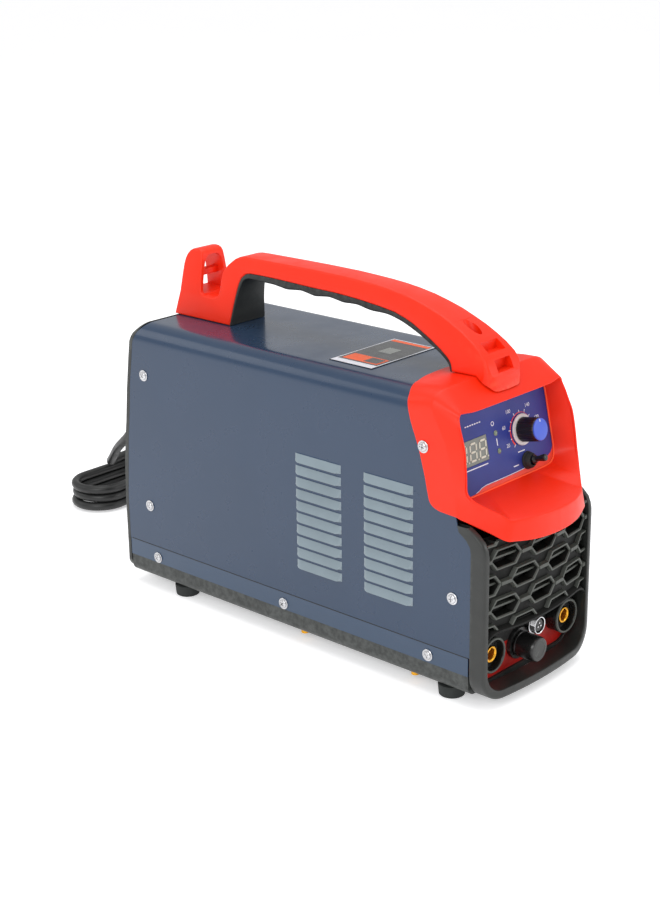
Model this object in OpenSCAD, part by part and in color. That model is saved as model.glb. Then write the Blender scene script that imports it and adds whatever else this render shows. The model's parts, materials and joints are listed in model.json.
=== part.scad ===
// Inverter TIG welder: folded sheet cover on a steel pan and a moulded tray,
// moulded front bezel with a honeycomb grille, a cowl round the control panel,
// a carrying handle with two strap anchors, rear panel with fan, switch, mains
// lead and gas inlet, and the power electronics inside.
// Frame: front -Y, rear +Y, up +Z, origin on the floor under the middle of the
// machine without its lead. Millimetres.

/* [Case] */
// Width over the cover's sides
case_w = 150; // [149:0.5:151]
// Height of the cover's flat top over the floor
top_z = 265.6; // [265.2:0.2:266]
// Thickness of the cover's sheet
sheet_t = 1.2; // [1:0.1:1.3]
// Outer radius of the cover's two long bends
bend_r = 17; // [15:0.5:18]

/* [Louvres] */
// Number of louvres in a column
louvre_n = 10; // [6:1:10]
// Distance between louvres
louvre_pitch = 11.1; // [10.5:0.1:11.2]
// Length of a louvre
louvre_len = 50; // [44:1:52]

/* [Control panel] */
// Lean of the control panel from the vertical, degrees
panel_tilt = 12; // [11:0.5:12.5]
// Radius of the current knob
knob_r = 10.6; // [9:0.2:11]
// Length of the current knob
knob_len = 20; // [16:1:22]

/* [Sockets] */
// Distance of each welding socket from the middle plane
socket_x = 52.3; // [51.5:0.1:52.5]
// Height of the welding sockets
socket_z = 44.5; // [44:0.1:45]
// Radius of the welding socket's bore
socket_bore_r = 4.5; // [4.3:0.05:4.7]

/* [Rear] */
// Radius of the fan's opening
fan_r = 42; // [40:1:43]
// Number of fan blades
fan_blades = 7; // [5:1:9]
// Radius of the gas inlet spigot
gas_r = 4.5; // [4:0.1:5]

/* [Lead] */
// Diameter of the mains lead
cord_d = 9.5; // [9:0.5:9.5]
// Length of the straight runs of the lead's hank
hank_run = 130; // [110:5:135]

/* [Hidden] */
$fn = 48;

half = case_w/2;
y0 = -205;             // the cover's front edge
tilt = panel_tilt;
knob_x = 26;   knob_s = 38.8;    // knob axis on the panel: across, up the slope
tog_x = 28;    tog_s = 11.5;     // toggle axis on the panel
fan_x = -12;   fan_z = 92;
gland_x = 30;  gland_z = 150;
gas_x = 60;    gas_z = 102;
rear_lean = 11.6;

// ---- helpers ------------------------------------------------------------
module F() { translate([0, y0, 0]) children(); }            // case frame
// profile drawn as (y, z), extruded across +-w
module sideX(w) { rotate([90, 0, 90]) translate([0, 0, -w]) linear_extrude(2*w) children(); }
// profile drawn as (x, z), extruded from y = a to y = b
module frontY(a, b) { translate([0, b, 0]) rotate([90, 0, 0]) linear_extrude(b - a) children(); }
module cylY(x, z, ya, yb, r) { translate([x, ya, z]) rotate([-90, 0, 0]) cylinder(h = yb - ya, r = r); }
module cylX(y, z, xa, xb, r) { translate([xa, y, z]) rotate([0, 90, 0]) cylinder(h = xb - xa, r = r); }
module coneX(y, z, xa, xb, ra, rb) { translate([xa, y, z]) rotate([0, 90, 0]) cylinder(h = xb - xa, r1 = ra, r2 = rb); }
// panel frame: local x across, local z up the slope, local -y outwards
module P() { F() translate([0, 18.7, 177.5]) rotate([-tilt, 0, 0]) children(); }
module cylP(x, s, ya, yb, r) { translate([x, -yb, s]) rotate([-90, 0, 0]) cylinder(h = yb - ya, r = r); }
// upper rear frame: local z up the slope, local +y outwards
module R() { F() translate([0, 417, 160]) rotate([rear_lean, 0, 0]) children(); }
module mirror2() { children(); mirror([1, 0, 0]) children(); }

// outline of the cover, open at the bottom, drawn as (x, z)
module cap_outline(w, z, r, z0) {
  translate([-w, z0]) square([2*w, z - r - z0]);
  translate([-w + r, z0]) square([2*(w - r), z - z0]);
  for (s = [-1, 1]) translate([s*(w - r), z - r]) circle(r, $fn = 64);
}
// rounded rectangle with separate bottom and top radii
module ring_outline(w, za, zb, rb, rt) {
  translate([-w, za + rb]) square([2*w, zb - za - rb - rt]);
  translate([-w + rb, za]) square([2*(w - rb), rb + 1]);
  translate([-w + rt, zb - rt - 1]) square([2*(w - rt), rt + 1]);
  for (s = [-1, 1]) {
    translate([s*(w - rb), za + rb]) circle(rb, $fn = 64);
    translate([s*(w - rt), zb - rt]) circle(rt, $fn = 64);
  }
}

// ---- cover --------------------------------------------------------------
cover_side = [[0, 47], [0, 142], [1.3, 147.3], [4.4, 150.8], [8.6, 153.2], [12.7, 156.5],
  [14.3, 161.3], [16, 168], [20, 182], [30, 216], [42, 248], [48, 270],
  [391.4, 270], [398.5, 257], [402.6, 248], [406, 224], [409, 208], [411, 184],
  [415, 151], [417, 126], [420, 90], [420, 47]];
louvre_col = [141, 61];

module louvre_out(y, z) {      // bulge with its mouth on the lower side
  rotate([90, 0, 90]) translate([0, 0, half - 0.4])
    linear_extrude(2.6) { translate([y + 4, z - 2.4]) square([louvre_len - 8, 5]);
      translate([y + 4, z + 0.1]) circle(2.5, $fn = 24); translate([y + louvre_len - 4, z + 0.1]) circle(2.5, $fn = 24); }
}
module louvre_in(y, z) {
  translate([half - 2, y + 2.6, z - 4]) cube([3.4, louvre_len - 5.2, 4.6]);
}
module cover() {
  color([0.24, 0.33, 0.41]) F() difference() {
    union() {
      intersection() {
        sideX(half + 1) polygon(cover_side);
        difference() {
          frontY(-1, 425) cap_outline(half, top_z, bend_r, 40);
          frontY(-2, 426) cap_outline(half - sheet_t, top_z - sheet_t, bend_r - sheet_t, 30);
        }
      }
      mirror2() for (c = louvre_col, i = [0 : louvre_n - 1])
        louvre_out(c + 1.5, 80.5 + i*louvre_pitch);
    }
    mirror2() for (c = louvre_col, i = [0 : louvre_n - 1])
      louvre_in(c + 1.5, 80.5 + i*louvre_pitch);
    for (s = upper_screws) cylX(s[0], s[1], -half - 5, half + 5, 2.3);
    cylX(hood_screw[0], hood_screw[1], -half - 5, half + 5, 2.3);
    for (y = [52, 350]) translate([0, y, top_z - 3]) cylinder(h = 6, r = 2.3);
  }
}
upper_screws = [[388.8, 217.4], [388.7, 87.2], [18.6, 96.1]];
lower_screws = [[381, 35.2], [213, 35.3], [44.7, 36.6]];
hood_screw = [48.6, 222.1];

// ---- base ---------------------------------------------------------------
module base_pan() {
  color([0.25, 0.34, 0.42]) F() difference() {
    union() {
      translate([-74.6, 26, 29.6]) cube([149.2, 386, 1.2]);
      mirror2() translate([73.5, 2, 29.6]) cube([1.2, 417.8, 17.2]);
      mirror2() translate([72.2, 28, 44]) cube([1.4, 376, 18]);
    }
    for (s = lower_screws) cylX(s[0], s[1], -half - 5, half + 5, 2.3);
    for (x = [-60, 60], y = [30, 357]) translate([x, y, 25]) cylinder(h = 10, r = 2.5);
  }
}
module base_tray() {
  color([0.17, 0.18, 0.17]) F() difference() {
    intersection() {
      frontY(2, 419.8) ring_outline(74.2, 11, 60, 9, 5);
      translate([-80, 0, 0]) cube([160, 430, 29.4]);
    }
    difference() {
      intersection() {
        frontY(9.2, 417.3) ring_outline(71.7, 13.5, 80, 7, 5);
        translate([-80, 0, 0]) cube([160, 430, 40]);
      }
      for (y = [110, 210, 310]) translate([-80, y, 0]) cube([160, 2, 27]);
      for (x = [-60, 60], y = [30, 357]) translate([x, y, 10]) cylinder(h = 19.4, r = 6);
    }
    intersection() {
      frontY(0, 6.6) ring_outline(70.6, 15.9, 80, 19, 5);
      translate([-80, 0, 0]) cube([160, 20, 40]);
    }
    for (x = [-60, 60], y = [30, 357]) translate([x, y, 5]) cylinder(h = 30, r = 2.1);
    for (x = [-64, 64], y = [67, 197]) translate([x, y, 5]) cylinder(h = 20, r = 2.1);
  }
}
module feet() {
  color([0.13, 0.15, 0.14]) F() for (x = [-60, 60], y = [30, 357]) translate([x, y, 0]) difference() {
    cylinder(h = 10.9, r1 = 11.2, r2 = 12.2);
    translate([0, 0, -1]) cylinder(h = 6, r = 5);
    cylinder(h = 20, r = 2.3);
  }
}
module foot_screws() {
  color([0.6, 0.6, 0.62]) F() for (x = [-60, 60], y = [30, 357]) translate([x, y, 0]) {
    translate([0, 0, 2.4]) cylinder(h = 2.5, r = 4);
    translate([0, 0, 4]) cylinder(h = 29, r = 2);
    translate([0, 0, 30.9]) cylinder(h = 2.6, r = 4, $fn = 6);
  }
}
module base_screws() {
  color([0.75, 0.6, 0.3]) F() for (x = [-64, 64], y = [67, 197]) translate([x, y, 0]) {
    translate([0, 0, 8]) cylinder(h = 2.9, r = 3.6);
    translate([0, 0, 10]) cylinder(h = 12, r = 2);
  }
}
module screw_x(y, z, x, len) {
  cylX(y, z, x + 0.05, x + 0.85, 5.3);
  coneX(y, z, x + 0.8, x + 2.6, 3.9, 3.0);
  cylX(y, z, x - len, x + 0.2, 2);
}
module side_screws() {
  color([0.8, 0.8, 0.8]) F() mirror2() {
    for (s = upper_screws) screw_x(s[0], s[1], half, 8);
    for (s = lower_screws) screw_x(s[0], s[1], half - 0.3, 8);
  }
}

// ---- front bezel and grille --------------------------------------------
front_R = 412;     // plan radius of the front's gentle bow
module bow(y, r) { translate([0, y + r, 0]) cylinder(h = 300, r = r, $fn = 256); }

module front_bezel() {
  color([0.2, 0.21, 0.2]) F() difference() {
    union() {
      intersection() {
        sideX(76) polygon([[-30, 7.5], [-30, 136], [-21, 145.5], [-15, 152], [-8, 156], [2.4, 160.4],
          [13.6, 161], [12, 156.9], [8.2, 153.7], [4, 151.3], [0.9, 147.7], [-0.4, 142], [-0.4, 7.5]]);
        frontY(-40, 20) ring_outline(76, 7.5, 170, 25, 5);
        bow(-22, front_R);
      }
      mirror2() translate([70.4, -5, 66]) cube([2.6, 29, 68]);
    }
    intersection() {
      frontY(-50, 40) ring_outline(70.2, 16, 151, 19, 6);
      translate([-100, -60, 0]) cube([200, 200, 400]);
    }
    cylX(upper_screws[2][0], upper_screws[2][1], -half - 5, half + 5, 2.3);
  }
}

module hexa(w, t, h) { polygon([[-w, 0], [-t, h], [t, h], [w, 0], [t, -h], [-t, -h]]); }
module cell_ring() { difference() { hexa(18.8, 11.6, 9.5); hexa(16.6, 10.2, 7.5); } }
module grille_2d() {
  intersection() {
    union() {
      for (k = [0 : 3]) translate([(k % 2)*24, 68 + 22*k]) for (j = [-2 : 1]) translate([j*48, 0]) {
        translate([(k % 2 == 0) ? 24 : 0, 0]) {
          cell_ring();
          translate([-12, -0.8]) square([24, 1.6]);
        }
        translate([(k % 2 == 0) ? 0 : 24, 0]) translate([-7, -1.1]) square([14, 2.2]);
        // short webs that tie one row to the next
        translate([(k % 2 == 0) ? 24 : 0, 0]) for (s = [-1, 1]) translate([s*12.2 - 1.2, 8]) square([2.4, 6]);
      }
    }
    translate([-69.8, 69]) square([139.6, 81.6]);
  }
}
module front_grille() {
  color([0.12, 0.12, 0.11]) F() {
    intersection() {
      frontY(-30, 0) intersection() { ring_outline(69.9, 40, 150.6, 5, 6.4); union() {
        grille_2d();
        translate([-69.8, 146.6]) square([139.6, 4]);
        for (s = [-1, 1]) translate([s*68.6 - 1.2, 69]) square([2.4, 81.6]);
        translate([-69.8, 67.2]) square([139.6, 2.6]);
      } }
      difference() { bow(-20, front_R); bow(-16, front_R); }
    }
    // shelf over the sockets
    difference() {
      intersection() {
        translate([-69.8, -30, 67.2]) cube([139.6, 33.6, 2.4]);
        bow(-19.5, front_R);
      }
    }
  }
}
module socket_plate() {
  color([0.8, 0.12, 0.08]) F() difference() {
    intersection() {
      frontY(4, 6) ring_outline(69.9, 16.4, 90, 18.7, 5);
      translate([-80, 0, 0]) cube([160, 20, 67]);
    }
    for (s = [-1, 1]) cylY(s*socket_x, socket_z, 0, 10, 8.2);
    cylY(-5, 36.5, 0, 10, 5.2);
    cylY(15.5, 47.5, 0, 10, 6.2);
  }
}
module socket_collar(s) {
  color([0.1, 0.1, 0.1]) F() difference() {
    union() {
      cylY(s*socket_x, socket_z, -8.5, 3.9, 15.5);
      cylY(s*socket_x, socket_z, 3.5, 12, 8.1);
    }
    cylY(s*socket_x, socket_z, -9, -1, 13.3);
    cylY(s*socket_x, socket_z, -9, 14, 7.3);
  }
}
module socket_collars() { socket_collar(-1); socket_collar(1); }
module socket_insert(s) {
  color([0.78, 0.6, 0.25]) F() difference() {
    union() {
      cylY(s*socket_x, socket_z, -5.5, 24, 7.2);
      translate([s*socket_x, 24, socket_z]) rotate([-90, 0, 0]) cylinder(h = 8, r = 5.9, $fn = 6);
    }
    cylY(s*socket_x, socket_z, -6, 20, socket_bore_r);
  }
}
module socket_insert_left() { socket_insert(-1); }
module socket_insert_right() { socket_insert(1); }
module gas_outlet() {
  color([0.12, 0.12, 0.12]) F() difference() {
    union() {
      cylY(-5, 36.5, 0.3, 3.9, 14);
      cylY(-5, 36.5, -13, 24, 5);
    }
    cylY(-5, 36.5, -14, 20, 2.5);
  }
}
module gas_outlet_cap() {
  color([0.1, 0.1, 0.1]) F() difference() {
    cylY(-5, 36.5, -21, -0.1, 11.5);
    cylY(-5, 36.5, -13.6, 1, 5.1);
  }
}
module torch_socket() {
  color([0.75, 0.75, 0.76]) F() difference() {
    union() {
      cylY(15.5, 47.5, -6, 4, 8);
      cylY(15.5, 47.5, -1, 0.5, 9.2);
      cylY(15.5, 47.5, 3.8, 18, 6);
    }
    difference() { cylY(15.5, 47.5, -7, -1, 6.6); cylY(15.5, 47.5, -4, 0, 5.6); }
    for (x = [-2, 2]) cylY(15.5 + x, 47.5, -5, -1, 0.8);
  }
}

// ---- hood ---------------------------------------------------------------
hood_low = [[41, 190], [46, 190], [44.6, 184], [42.5, 177], [39.3, 171.3], [31, 170.3], [20.6, 169.4], [13.3, 168.6],
  [-21.6, 150], [-34, 147.5], [-35, 149], [-35, 165], [-33.5, 167.2], [-21, 167.2], [-9.5, 178], [0, 190]];
hood_up = [[62.8, 269.2], [65.4, 263], [66, 258], [65.4, 251], [62.8, 242], [58.5, 231], [54.3, 220.5],
  [50, 206], [46.8, 194], [44.6, 184], [42.5, 177], [20, 177], [-9.5, 177.8], [2.4, 191], [3.9, 204],
  [5.4, 216], [7.2, 226], [10.6, 235], [13.4, 242], [15.8, 248], [17.7, 253], [20.6, 257.5], [26, 262.5],
  [38, 270], [60, 270]];
module hood() {
  color([0.98, 0.3, 0.2]) F() difference() {
    union() {
      intersection() {
        sideX(77) polygon(hood_low);
        translate([0, 0, 140]) linear_extrude(60)
          polygon([[-77, 80], [-77, 13], [-54.6, -21.6], [-28, -31.5], [0, -35], [28, -31.5], [54.6, -21.6], [77, 13], [77, 80]]);
      }
      intersection() {
        sideX(77) polygon(hood_up);
        frontY(-40, 90) cap_outline(77, 270, 19, 170);
        translate([0, 0, 170]) linear_extrude(110)
          polygon([[-77, 90], [-77, 13], [-76.6, 2], [-62, -10], [62, -10], [76.6, 2], [77, 13], [77, 90]]);
      }
      // roof that runs back over the cover
      intersection() {
        sideX(60) polygon([[40, 265], [40, 270], [60, 270], [80, 266.9], [80, 265]]);
        translate([0, 0, 260]) linear_extrude(20) polygon([[-58, 30], [-58, 72], [-46, 77], [0, 81], [46, 77], [58, 72], [58, 30]]);
      }
    }
    // recess in front of the control panel
    sideX(65.9) polygon([[-60, 167.2], [-60, 249.6], [12, 249.6], [34.1, 248.6], [41, 248.6], [25.4, 177.2], [18.6, 177.2], [-21, 167.2]]);
    // hollow behind the panel and under the roof
    sideX(65.5) polygon([[24, 172], [41.5, 252], [48, 262], [95, 262], [95, 168], [20, 168]]);
    // room for the cover
    intersection() {
      frontY(0, 100) cap_outline(half + 0.25, top_z + 0.25, bend_r + 0.25, 100);
      sideX(90) polygon([[14, 150], [13.6, 161.3], [15.7, 168], [19.6, 182], [29.5, 216], [41.3, 248], [45.6, 266], [100, 300], [100, 150]]);
    }
    // hollow chin
    intersection() {
      sideX(73.2) polygon([[-40, 130], [-31, 140], [-31, 161], [-20, 162.9], [16, 172.6], [30, 172.6], [100, 172.6], [100, 130]]);
      translate([0, 0, 120]) linear_extrude(60)
        polygon([[-73.2, 90], [-73.2, 14.5], [-51.8, -18.4], [-27, -27.8], [0, -31], [27, -27.8], [51.8, -18.4], [73.2, 14.5], [73.2, 90]]);
    }
    cylX(hood_screw[0], hood_screw[1], -90, 90, 2.3);
    translate([0, 52, 250]) cylinder(h = 40, r = 2.3);
  }
}
module hood_screws() {
  color([0.8, 0.8, 0.8]) F() mirror2() screw_x(hood_screw[0], hood_screw[1], 77, 9);
}

// ---- control panel ------------------------------------------------------
module control_plate() {
  color([0.6, 0.62, 0.64]) P() difference() {
    translate([-65.6, 0, 1]) cube([131.2, 1.6, 70]);
    cylP(knob_x, knob_s, -5, 5, 4);
    cylP(tog_x, tog_s, -5, 5, 3.6);
    translate([-60.7, -2, 25]) cube([39.6, 6, 21.6]);
    cylP(-8.8, 44.2, -5, 5, 1.7);
    cylP(-7.3, 28.5, -5, 5, 1.7);
  }
}
module panel_overlay() {
  color([0.2, 0.27, 0.55]) P() difference() {
    translate([-65.6, -0.45, 1]) cube([131.2, 0.4, 70]);
    cylP(knob_x, knob_s, -5, 5, 4);
    cylP(tog_x, tog_s, -5, 5, 3.6);
    translate([-60.7, -2, 25]) cube([39.6, 6, 21.6]);
    cylP(-8.8, 44.2, -5, 5, 1.7);
    cylP(-7.3, 28.5, -5, 5, 1.7);
  }
}
module display_module() {
  color([0.1, 0.1, 0.1]) P() translate([-60.4, 0.8, 25.3]) cube([39, 7, 21]);
}
module display_lens() {
  color([0.45, 0.47, 0.45]) P() translate([-60.4, -0.4, 25.3]) cube([39, 1, 21]);
}
module indicator_leds() {
  color([0.5, 0.8, 0.4]) P() for (q = [[-8.8, 44.2], [-7.3, 28.5]]) {
    cylP(q[0], q[1], -6, 0.9, 1.5);
    cylP(q[0], q[1], -7.5, -2, 2);
  }
}
module potentiometer() {
  color([0.55, 0.55, 0.57]) P() difference() {
    union() {
      cylP(knob_x, knob_s, -10, -1.8, 9);
      cylP(knob_x, knob_s, -3, 1.6, 3.8);
    }
    cylP(knob_x, knob_s, -8, 3, 3.06);
  }
}
module knob_shaft() {
  color([0.8, 0.8, 0.8]) P() cylP(knob_x, knob_s, -7.6, 16, 3);
}
module knob_skirt() {
  color([0.85, 0.85, 0.85]) P() difference() {
    cylP(knob_x, knob_s, 1, 2.8, 13.5);
    cylP(knob_x, knob_s, 0, 4, 4.3);
  }
}
module current_knob() {
  color([0.08, 0.08, 0.08]) P() difference() {
    cylP(knob_x, knob_s, 2.85, knob_len, knob_r);
    cylP(knob_x, knob_s, 2, 16.2, 3.05);
  }
}
module knob_cap() {
  color([0.3, 0.4, 0.8]) P() cylP(knob_x, knob_s, knob_len + 0.05, knob_len + 1.2, 9.5);
}
module toggle_body() {
  color([0.1, 0.1, 0.1]) P() difference() {
    union() {
      translate([tog_x - 6, 1.8, tog_s - 7]) cube([12, 11, 14]);
      cylP(tog_x, tog_s, -2, 1, 3.5);
      cylP(tog_x, tog_s, 0.6, 7, 7);
    }
    cylP(tog_x, tog_s, -3.5, 8, 3.1);
    cylP(tog_x, tog_s, 3, 8, 4.6);
  }
}
module toggle_lever() {
  color([0.1, 0.1, 0.1]) P() translate([tog_x, -1.5, tog_s]) rotate([-8, 0, 0]) union() {
    rotate([90, 0, 0]) cylinder(h = 18, r1 = 1.7, r2 = 3);
    sphere(2.6);
    translate([-2.85, 0, 0]) rotate([0, 90, 0]) cylinder(h = 5.7, r = 1.1);
  }
}
module control_board() {
  color([0.1, 0.35, 0.2]) P() translate([-58, 15, 6]) cube([116, 1.6, 58]);
}

// ---- handle -------------------------------------------------------------
// top line of the handle, front to rear, as (y, z)
handle_top = [[20.2, 257.6], [19.6, 260], [20.6, 263], [26.4, 278.3], [30.5, 286], [38.7, 292.8], [47.7, 298.5], [70, 309.5],
  [95.7, 318.5], [126.3, 325.5], [156.7, 328.5], [195, 330.4], [225.8, 330.8], [288.6, 330.6], [316.7, 330.2],
  [324, 327.4], [332.5, 320.8], [337.5, 315.5], [340.3, 308], [340.8, 296], [342.5, 291], [347, 288.3],
  [366, 288.8], [367.5, 325.5], [371, 329], [376, 329.5], [382, 328.4], [388, 323], [391, 315],
  [393.4, 288.5], [396.3, 265.9]];
// underside of the red shell, rear to front
arch = [[324.6, 265.9], [321.6, 285.4], [319.2, 297.7], [317, 306.2], [314.3, 311.1], [309.6, 314.9], [304.6, 316.1],
  [275.5, 316.2], [229.8, 314.9], [199.9, 314.5], [170.7, 312.9], [130.6, 308.5], [117.9, 305], [101.7, 298.4],
  [89, 292.2], [77.4, 285.8], [70.4, 281.2], [65.5, 276.3], [63.5, 270.3]];
handle_base = [[38.2, 270.3], [26, 262.9]];
module handle_width() { polygon([[-28.8, 236], [28.8, 236], [13.2, 331.5], [-13.2, 331.5]]); }

module handle_shell() {
  color([0.98, 0.3, 0.2]) F() union() {
    difference() {
      intersection() {
        sideX(30) polygon(concat(handle_top, arch, handle_base));
        frontY(0, 410) handle_width();
      }
      // rear strap loop
      frontY(362, 400) polygon([[-16.6, 289], [16.6, 289], [15.2, 300], [12, 317], [8, 323.5], [-8, 323.5], [-12, 317], [-15.2, 300]]);
      // front strap pocket
      translate([-12.5, 23, 273]) cube([25, 19, 26]);
      translate([0, 51, 299]) rotate([-35, 0, 0]) translate([0, 0, -16]) cylinder(h = 26, r = 5);
      // screw pilots
      for (y = [52, 350]) translate([0, y, 255]) cylinder(h = 26, r = 2.05);
    }
    translate([-16, 374.5, 302.8]) cube([32, 9.5, 6.2]);
    cylX(30.5, 285.5, -14.5, 14.5, 2.6);
  }
}
// soft lining inside the arch, with finger lobes
grip_low = [[322.9, 266.1], [320, 284], [317.2, 296], [314.6, 303.6], [311.4, 308.4], [306, 311.2], [298, 311],
  [286, 310.6], [275, 310.4], [258, 308.6], [241, 310], [224, 307.8], [207, 309.4], [190, 307.4], [173, 307.8],
  [157, 305.4], [140, 305.2], [130.6, 303.6], [119.4, 300.6], [103.2, 294.4], [90.4, 288.4], [79, 282.6], [72.6, 278.6], [68.5, 275], [66.3, 270.3]];
module handle_grip() {
  color([0.09, 0.1, 0.09]) F() intersection() {
    sideX(30) polygon(concat([for (i = [0 : len(arch) - 1]) [arch[i][0] - (i < 5 ? 0.15 : 0), arch[i][1] - (i < 5 ? 0 : 0.15)]],
      [for (i = [len(grip_low) - 1 : -1 : 0]) grip_low[i]]));
    frontY(0, 410) polygon([[-28, 236], [28, 236], [12.6, 331.5], [-12.6, 331.5]]);
  }
}
module handle_screws() {
  color([0.7, 0.7, 0.72]) F() for (y = [52, 350]) translate([0, y, 0]) {
    translate([0, 0, top_z - sheet_t - 2.7]) cylinder(h = 2.6, r = 4);
    translate([0, 0, top_z - sheet_t - 1]) cylinder(h = 16, r = 2);
  }
}
module label_plate() {
  color([0.2, 0.2, 0.22]) F() translate([-48, 129, top_z + 0.05]) cube([86, 48, 0.5]);
}

// ---- rear ---------------------------------------------------------------
rim_out = [[395.4, 265.4], [403.4, 256], [406.8, 248], [409.4, 232], [414, 199], [417.4, 167], [419.8, 150],
  [422.3, 126], [424, 90], [424, 14.7]];
rim_in = [[420.2, 14.7], [420.2, 90], [417.2, 126], [415.2, 151], [411.2, 184], [409.2, 208], [406.2, 224],
  [402.8, 248], [398.7, 257], [391.7, 270]];
module rear_panel() {
  color([0.16, 0.17, 0.16]) F() difference() {
    union() {
      // rim that caps the cover's rear edge
      difference() {
        intersection() {
          sideX(75) polygon(concat([[395.4, 270]], rim_out, rim_in));
          frontY(380, 430) ring_outline(75, 14.7, 265.4, 9, 17);
        }
        frontY(379, 431) ring_outline(70, 20, 260.6, 6, 12.5);
      }
      // flange inside the cover
      difference() {
        intersection() {
          sideX(73.4) polygon(concat([[395.4, 264.4]], [for (i = [1 : 8]) rim_out[i]], [[424, 31.6], [406, 31.6], [406, 66], [381, 66], [381, 266]]));
          frontY(370, 430) ring_outline(73.3, 31.6, 263.9, 3, 15.4);
        }
        frontY(369, 431) ring_outline(70, 34.5, 260.6, 3, 12.5);
      }
      // panel
      intersection() {
        sideX(73.3) polygon([[413, 31.6], [417, 31.6], [417, 160], [396, 262.3], [392, 261.5], [413, 159.6]]);
        frontY(370, 430) ring_outline(72, 31.6, 262.5, 3, 14);
      }
    }
    cylY(fan_x, fan_z, 400, 430, fan_r);
    cylY(gland_x, gland_z, 400, 430, 8.1);
    cylY(gas_x, gas_z, 400, 430, 6.1);
    cylY(-52, 150, 400, 430, 3.1);
    for (s = [[1, 1], [1, -1], [-1, 1], [-1, -1]]) cylY(fan_x + s[0]*41.25, fan_z + s[1]*41.25, 400, 430, 2.2);
    for (i = [0, 1]) cylX(upper_screws[i][0], upper_screws[i][1], -80, 80, 2.3);
    translate([0, 417, 160]) rotate([rear_lean, 0, 0]) translate([-11.2, -10, 33.8]) cube([22.4, 20, 30.4]);
  }
}
module fan_frame() {
  color([0.1, 0.1, 0.1]) F() {
    difference() {
      translate([fan_x - 46, 387.5, fan_z - 46]) cube([92, 25.3, 92]);
      cylY(fan_x, fan_z, 380, 420, 44);
      for (s = [[1, 1], [1, -1], [-1, 1], [-1, -1]]) cylY(fan_x + s[0]*41.25, fan_z + s[1]*41.25, 380, 420, 2.2);
    }
    cylY(fan_x, fan_z, 409, 412.6, 19);
    for (a = [30, 150, 270]) translate([fan_x, 409.2, fan_z]) rotate([0, a, 0]) translate([17, 0, -2]) cube([28, 3.2, 4]);
    cylY(fan_x, fan_z, 400, 410, 2.4);
  }
}
module fan_rotor() {
  color([0.14, 0.14, 0.15]) F() difference() {
    union() {
      cylY(fan_x, fan_z, 389, 408, 18.5);
      for (i = [0 : fan_blades - 1]) translate([fan_x, 398.5, fan_z]) rotate([0, i*360/fan_blades, 0])
        translate([17, 0, 0]) rotate([38, 0, 0]) translate([0, -1, -12]) cube([24.5, 2, 24]);
    }
    cylY(fan_x, fan_z, 396, 412, 2.46);
  }
}
module ringY(x, z, ya, yb, ro, ri) { difference() { cylY(x, z, ya, yb, ro); cylY(x, z, ya - 1, yb + 1, ri); } }
module fan_guard() {
  color([0.5, 0.5, 0.5]) F() {
    for (r = [10, 18, 26, 34, 42]) ringY(fan_x, fan_z, 419, 421, r + 1, r - 1);
    for (a = [45, 135, 225, 315]) translate([fan_x, 417.1, fan_z]) rotate([0, a, 0]) {
      translate([9, 0, -1.2]) cube([51, 2, 2.4]);
    }
    difference() {
      union() for (s = [[1, 1], [1, -1], [-1, 1], [-1, -1]]) {
        cylY(fan_x + s[0]*41.25, fan_z + s[1]*41.25, 417.1, 419.3, 4.5);
        cylY(fan_x + s[0]*41.25, fan_z + s[1]*41.25, 396, 419.3, 2);
      }
    }
  }
}
module switch_housing() {
  color([0.08, 0.08, 0.08]) R() difference() {
    union() {
      translate([-14, 0.1, 31]) cube([28, 2, 36]);
      translate([-11, -22, 34]) cube([22, 23, 30]);
    }
    translate([-8.3, -8, 38]) cube([16.6, 20, 22]);
  }
}
module switch_rocker() {
  color([0.65, 0.1, 0.08]) R() translate([0, 0, 49]) {
    rotate([6, 0, 0]) translate([-8, 0, 0])
      rotate([90, 0, 90]) linear_extrude(16) polygon([[-5, -8.6], [3.6, -8.8], [1.9, 0], [3.6, 8.8], [-5, 8.6]]);
    translate([-8.25, 0, 0]) rotate([0, 90, 0]) cylinder(h = 16.5, r = 1.4);
  }
}
module cable_gland() {
  color([0.1, 0.1, 0.1]) F() {
    translate([gland_x, 417.1, gland_z]) rotate([-90, 0, 0]) cylinder(h = 7.8, r = 12.5, $fn = 6);
    cylY(gland_x, gland_z, 404, 418, 8);
    translate([gland_x, 406.9, gland_z]) rotate([-90, 0, 0]) cylinder(h = 5.9, r = 12, $fn = 6);
  }
}
module strain_relief() {
  color([0.08, 0.08, 0.08]) F() difference() {
    translate([gland_x, 425, gland_z]) rotate([-90, 0, 0]) cylinder(h = 30, r1 = 8.2, r2 = 5.8);
    for (y = [430, 436, 442, 448]) ringY(gland_x, gland_z, y, y + 1.6, 10, 5.4);
  }
}
module gas_inlet() {
  color([0.78, 0.62, 0.3]) F() difference() {
    union() {
      cylY(gas_x, gas_z, 396, 445, gas_r);
      cylY(gas_x, gas_z, 412.9, 417, 6);
      translate([gas_x, 417.1, gas_z]) rotate([-90, 0, 0]) cylinder(h = 8, r = 9, $fn = 6);
      translate([gas_x, 408, gas_z]) rotate([-90, 0, 0]) cylinder(h = 4.9, r = 9, $fn = 6);
    }
    cylY(gas_x, gas_z, 390, 450, 2.6);
  }
}
module earth_stud() {
  color([0.78, 0.62, 0.3]) F() {
    cylY(-52, 150, 405, 433, 3);
    translate([-52, 417.1, 150]) rotate([-90, 0, 0]) cylinder(h = 4, r = 5.6, $fn = 6);
    cylY(-52, 150, 421, 422.2, 6.5);
    translate([-52, 409, 150]) rotate([-90, 0, 0]) cylinder(h = 3.9, r = 5.6, $fn = 6);
  }
}

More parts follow.
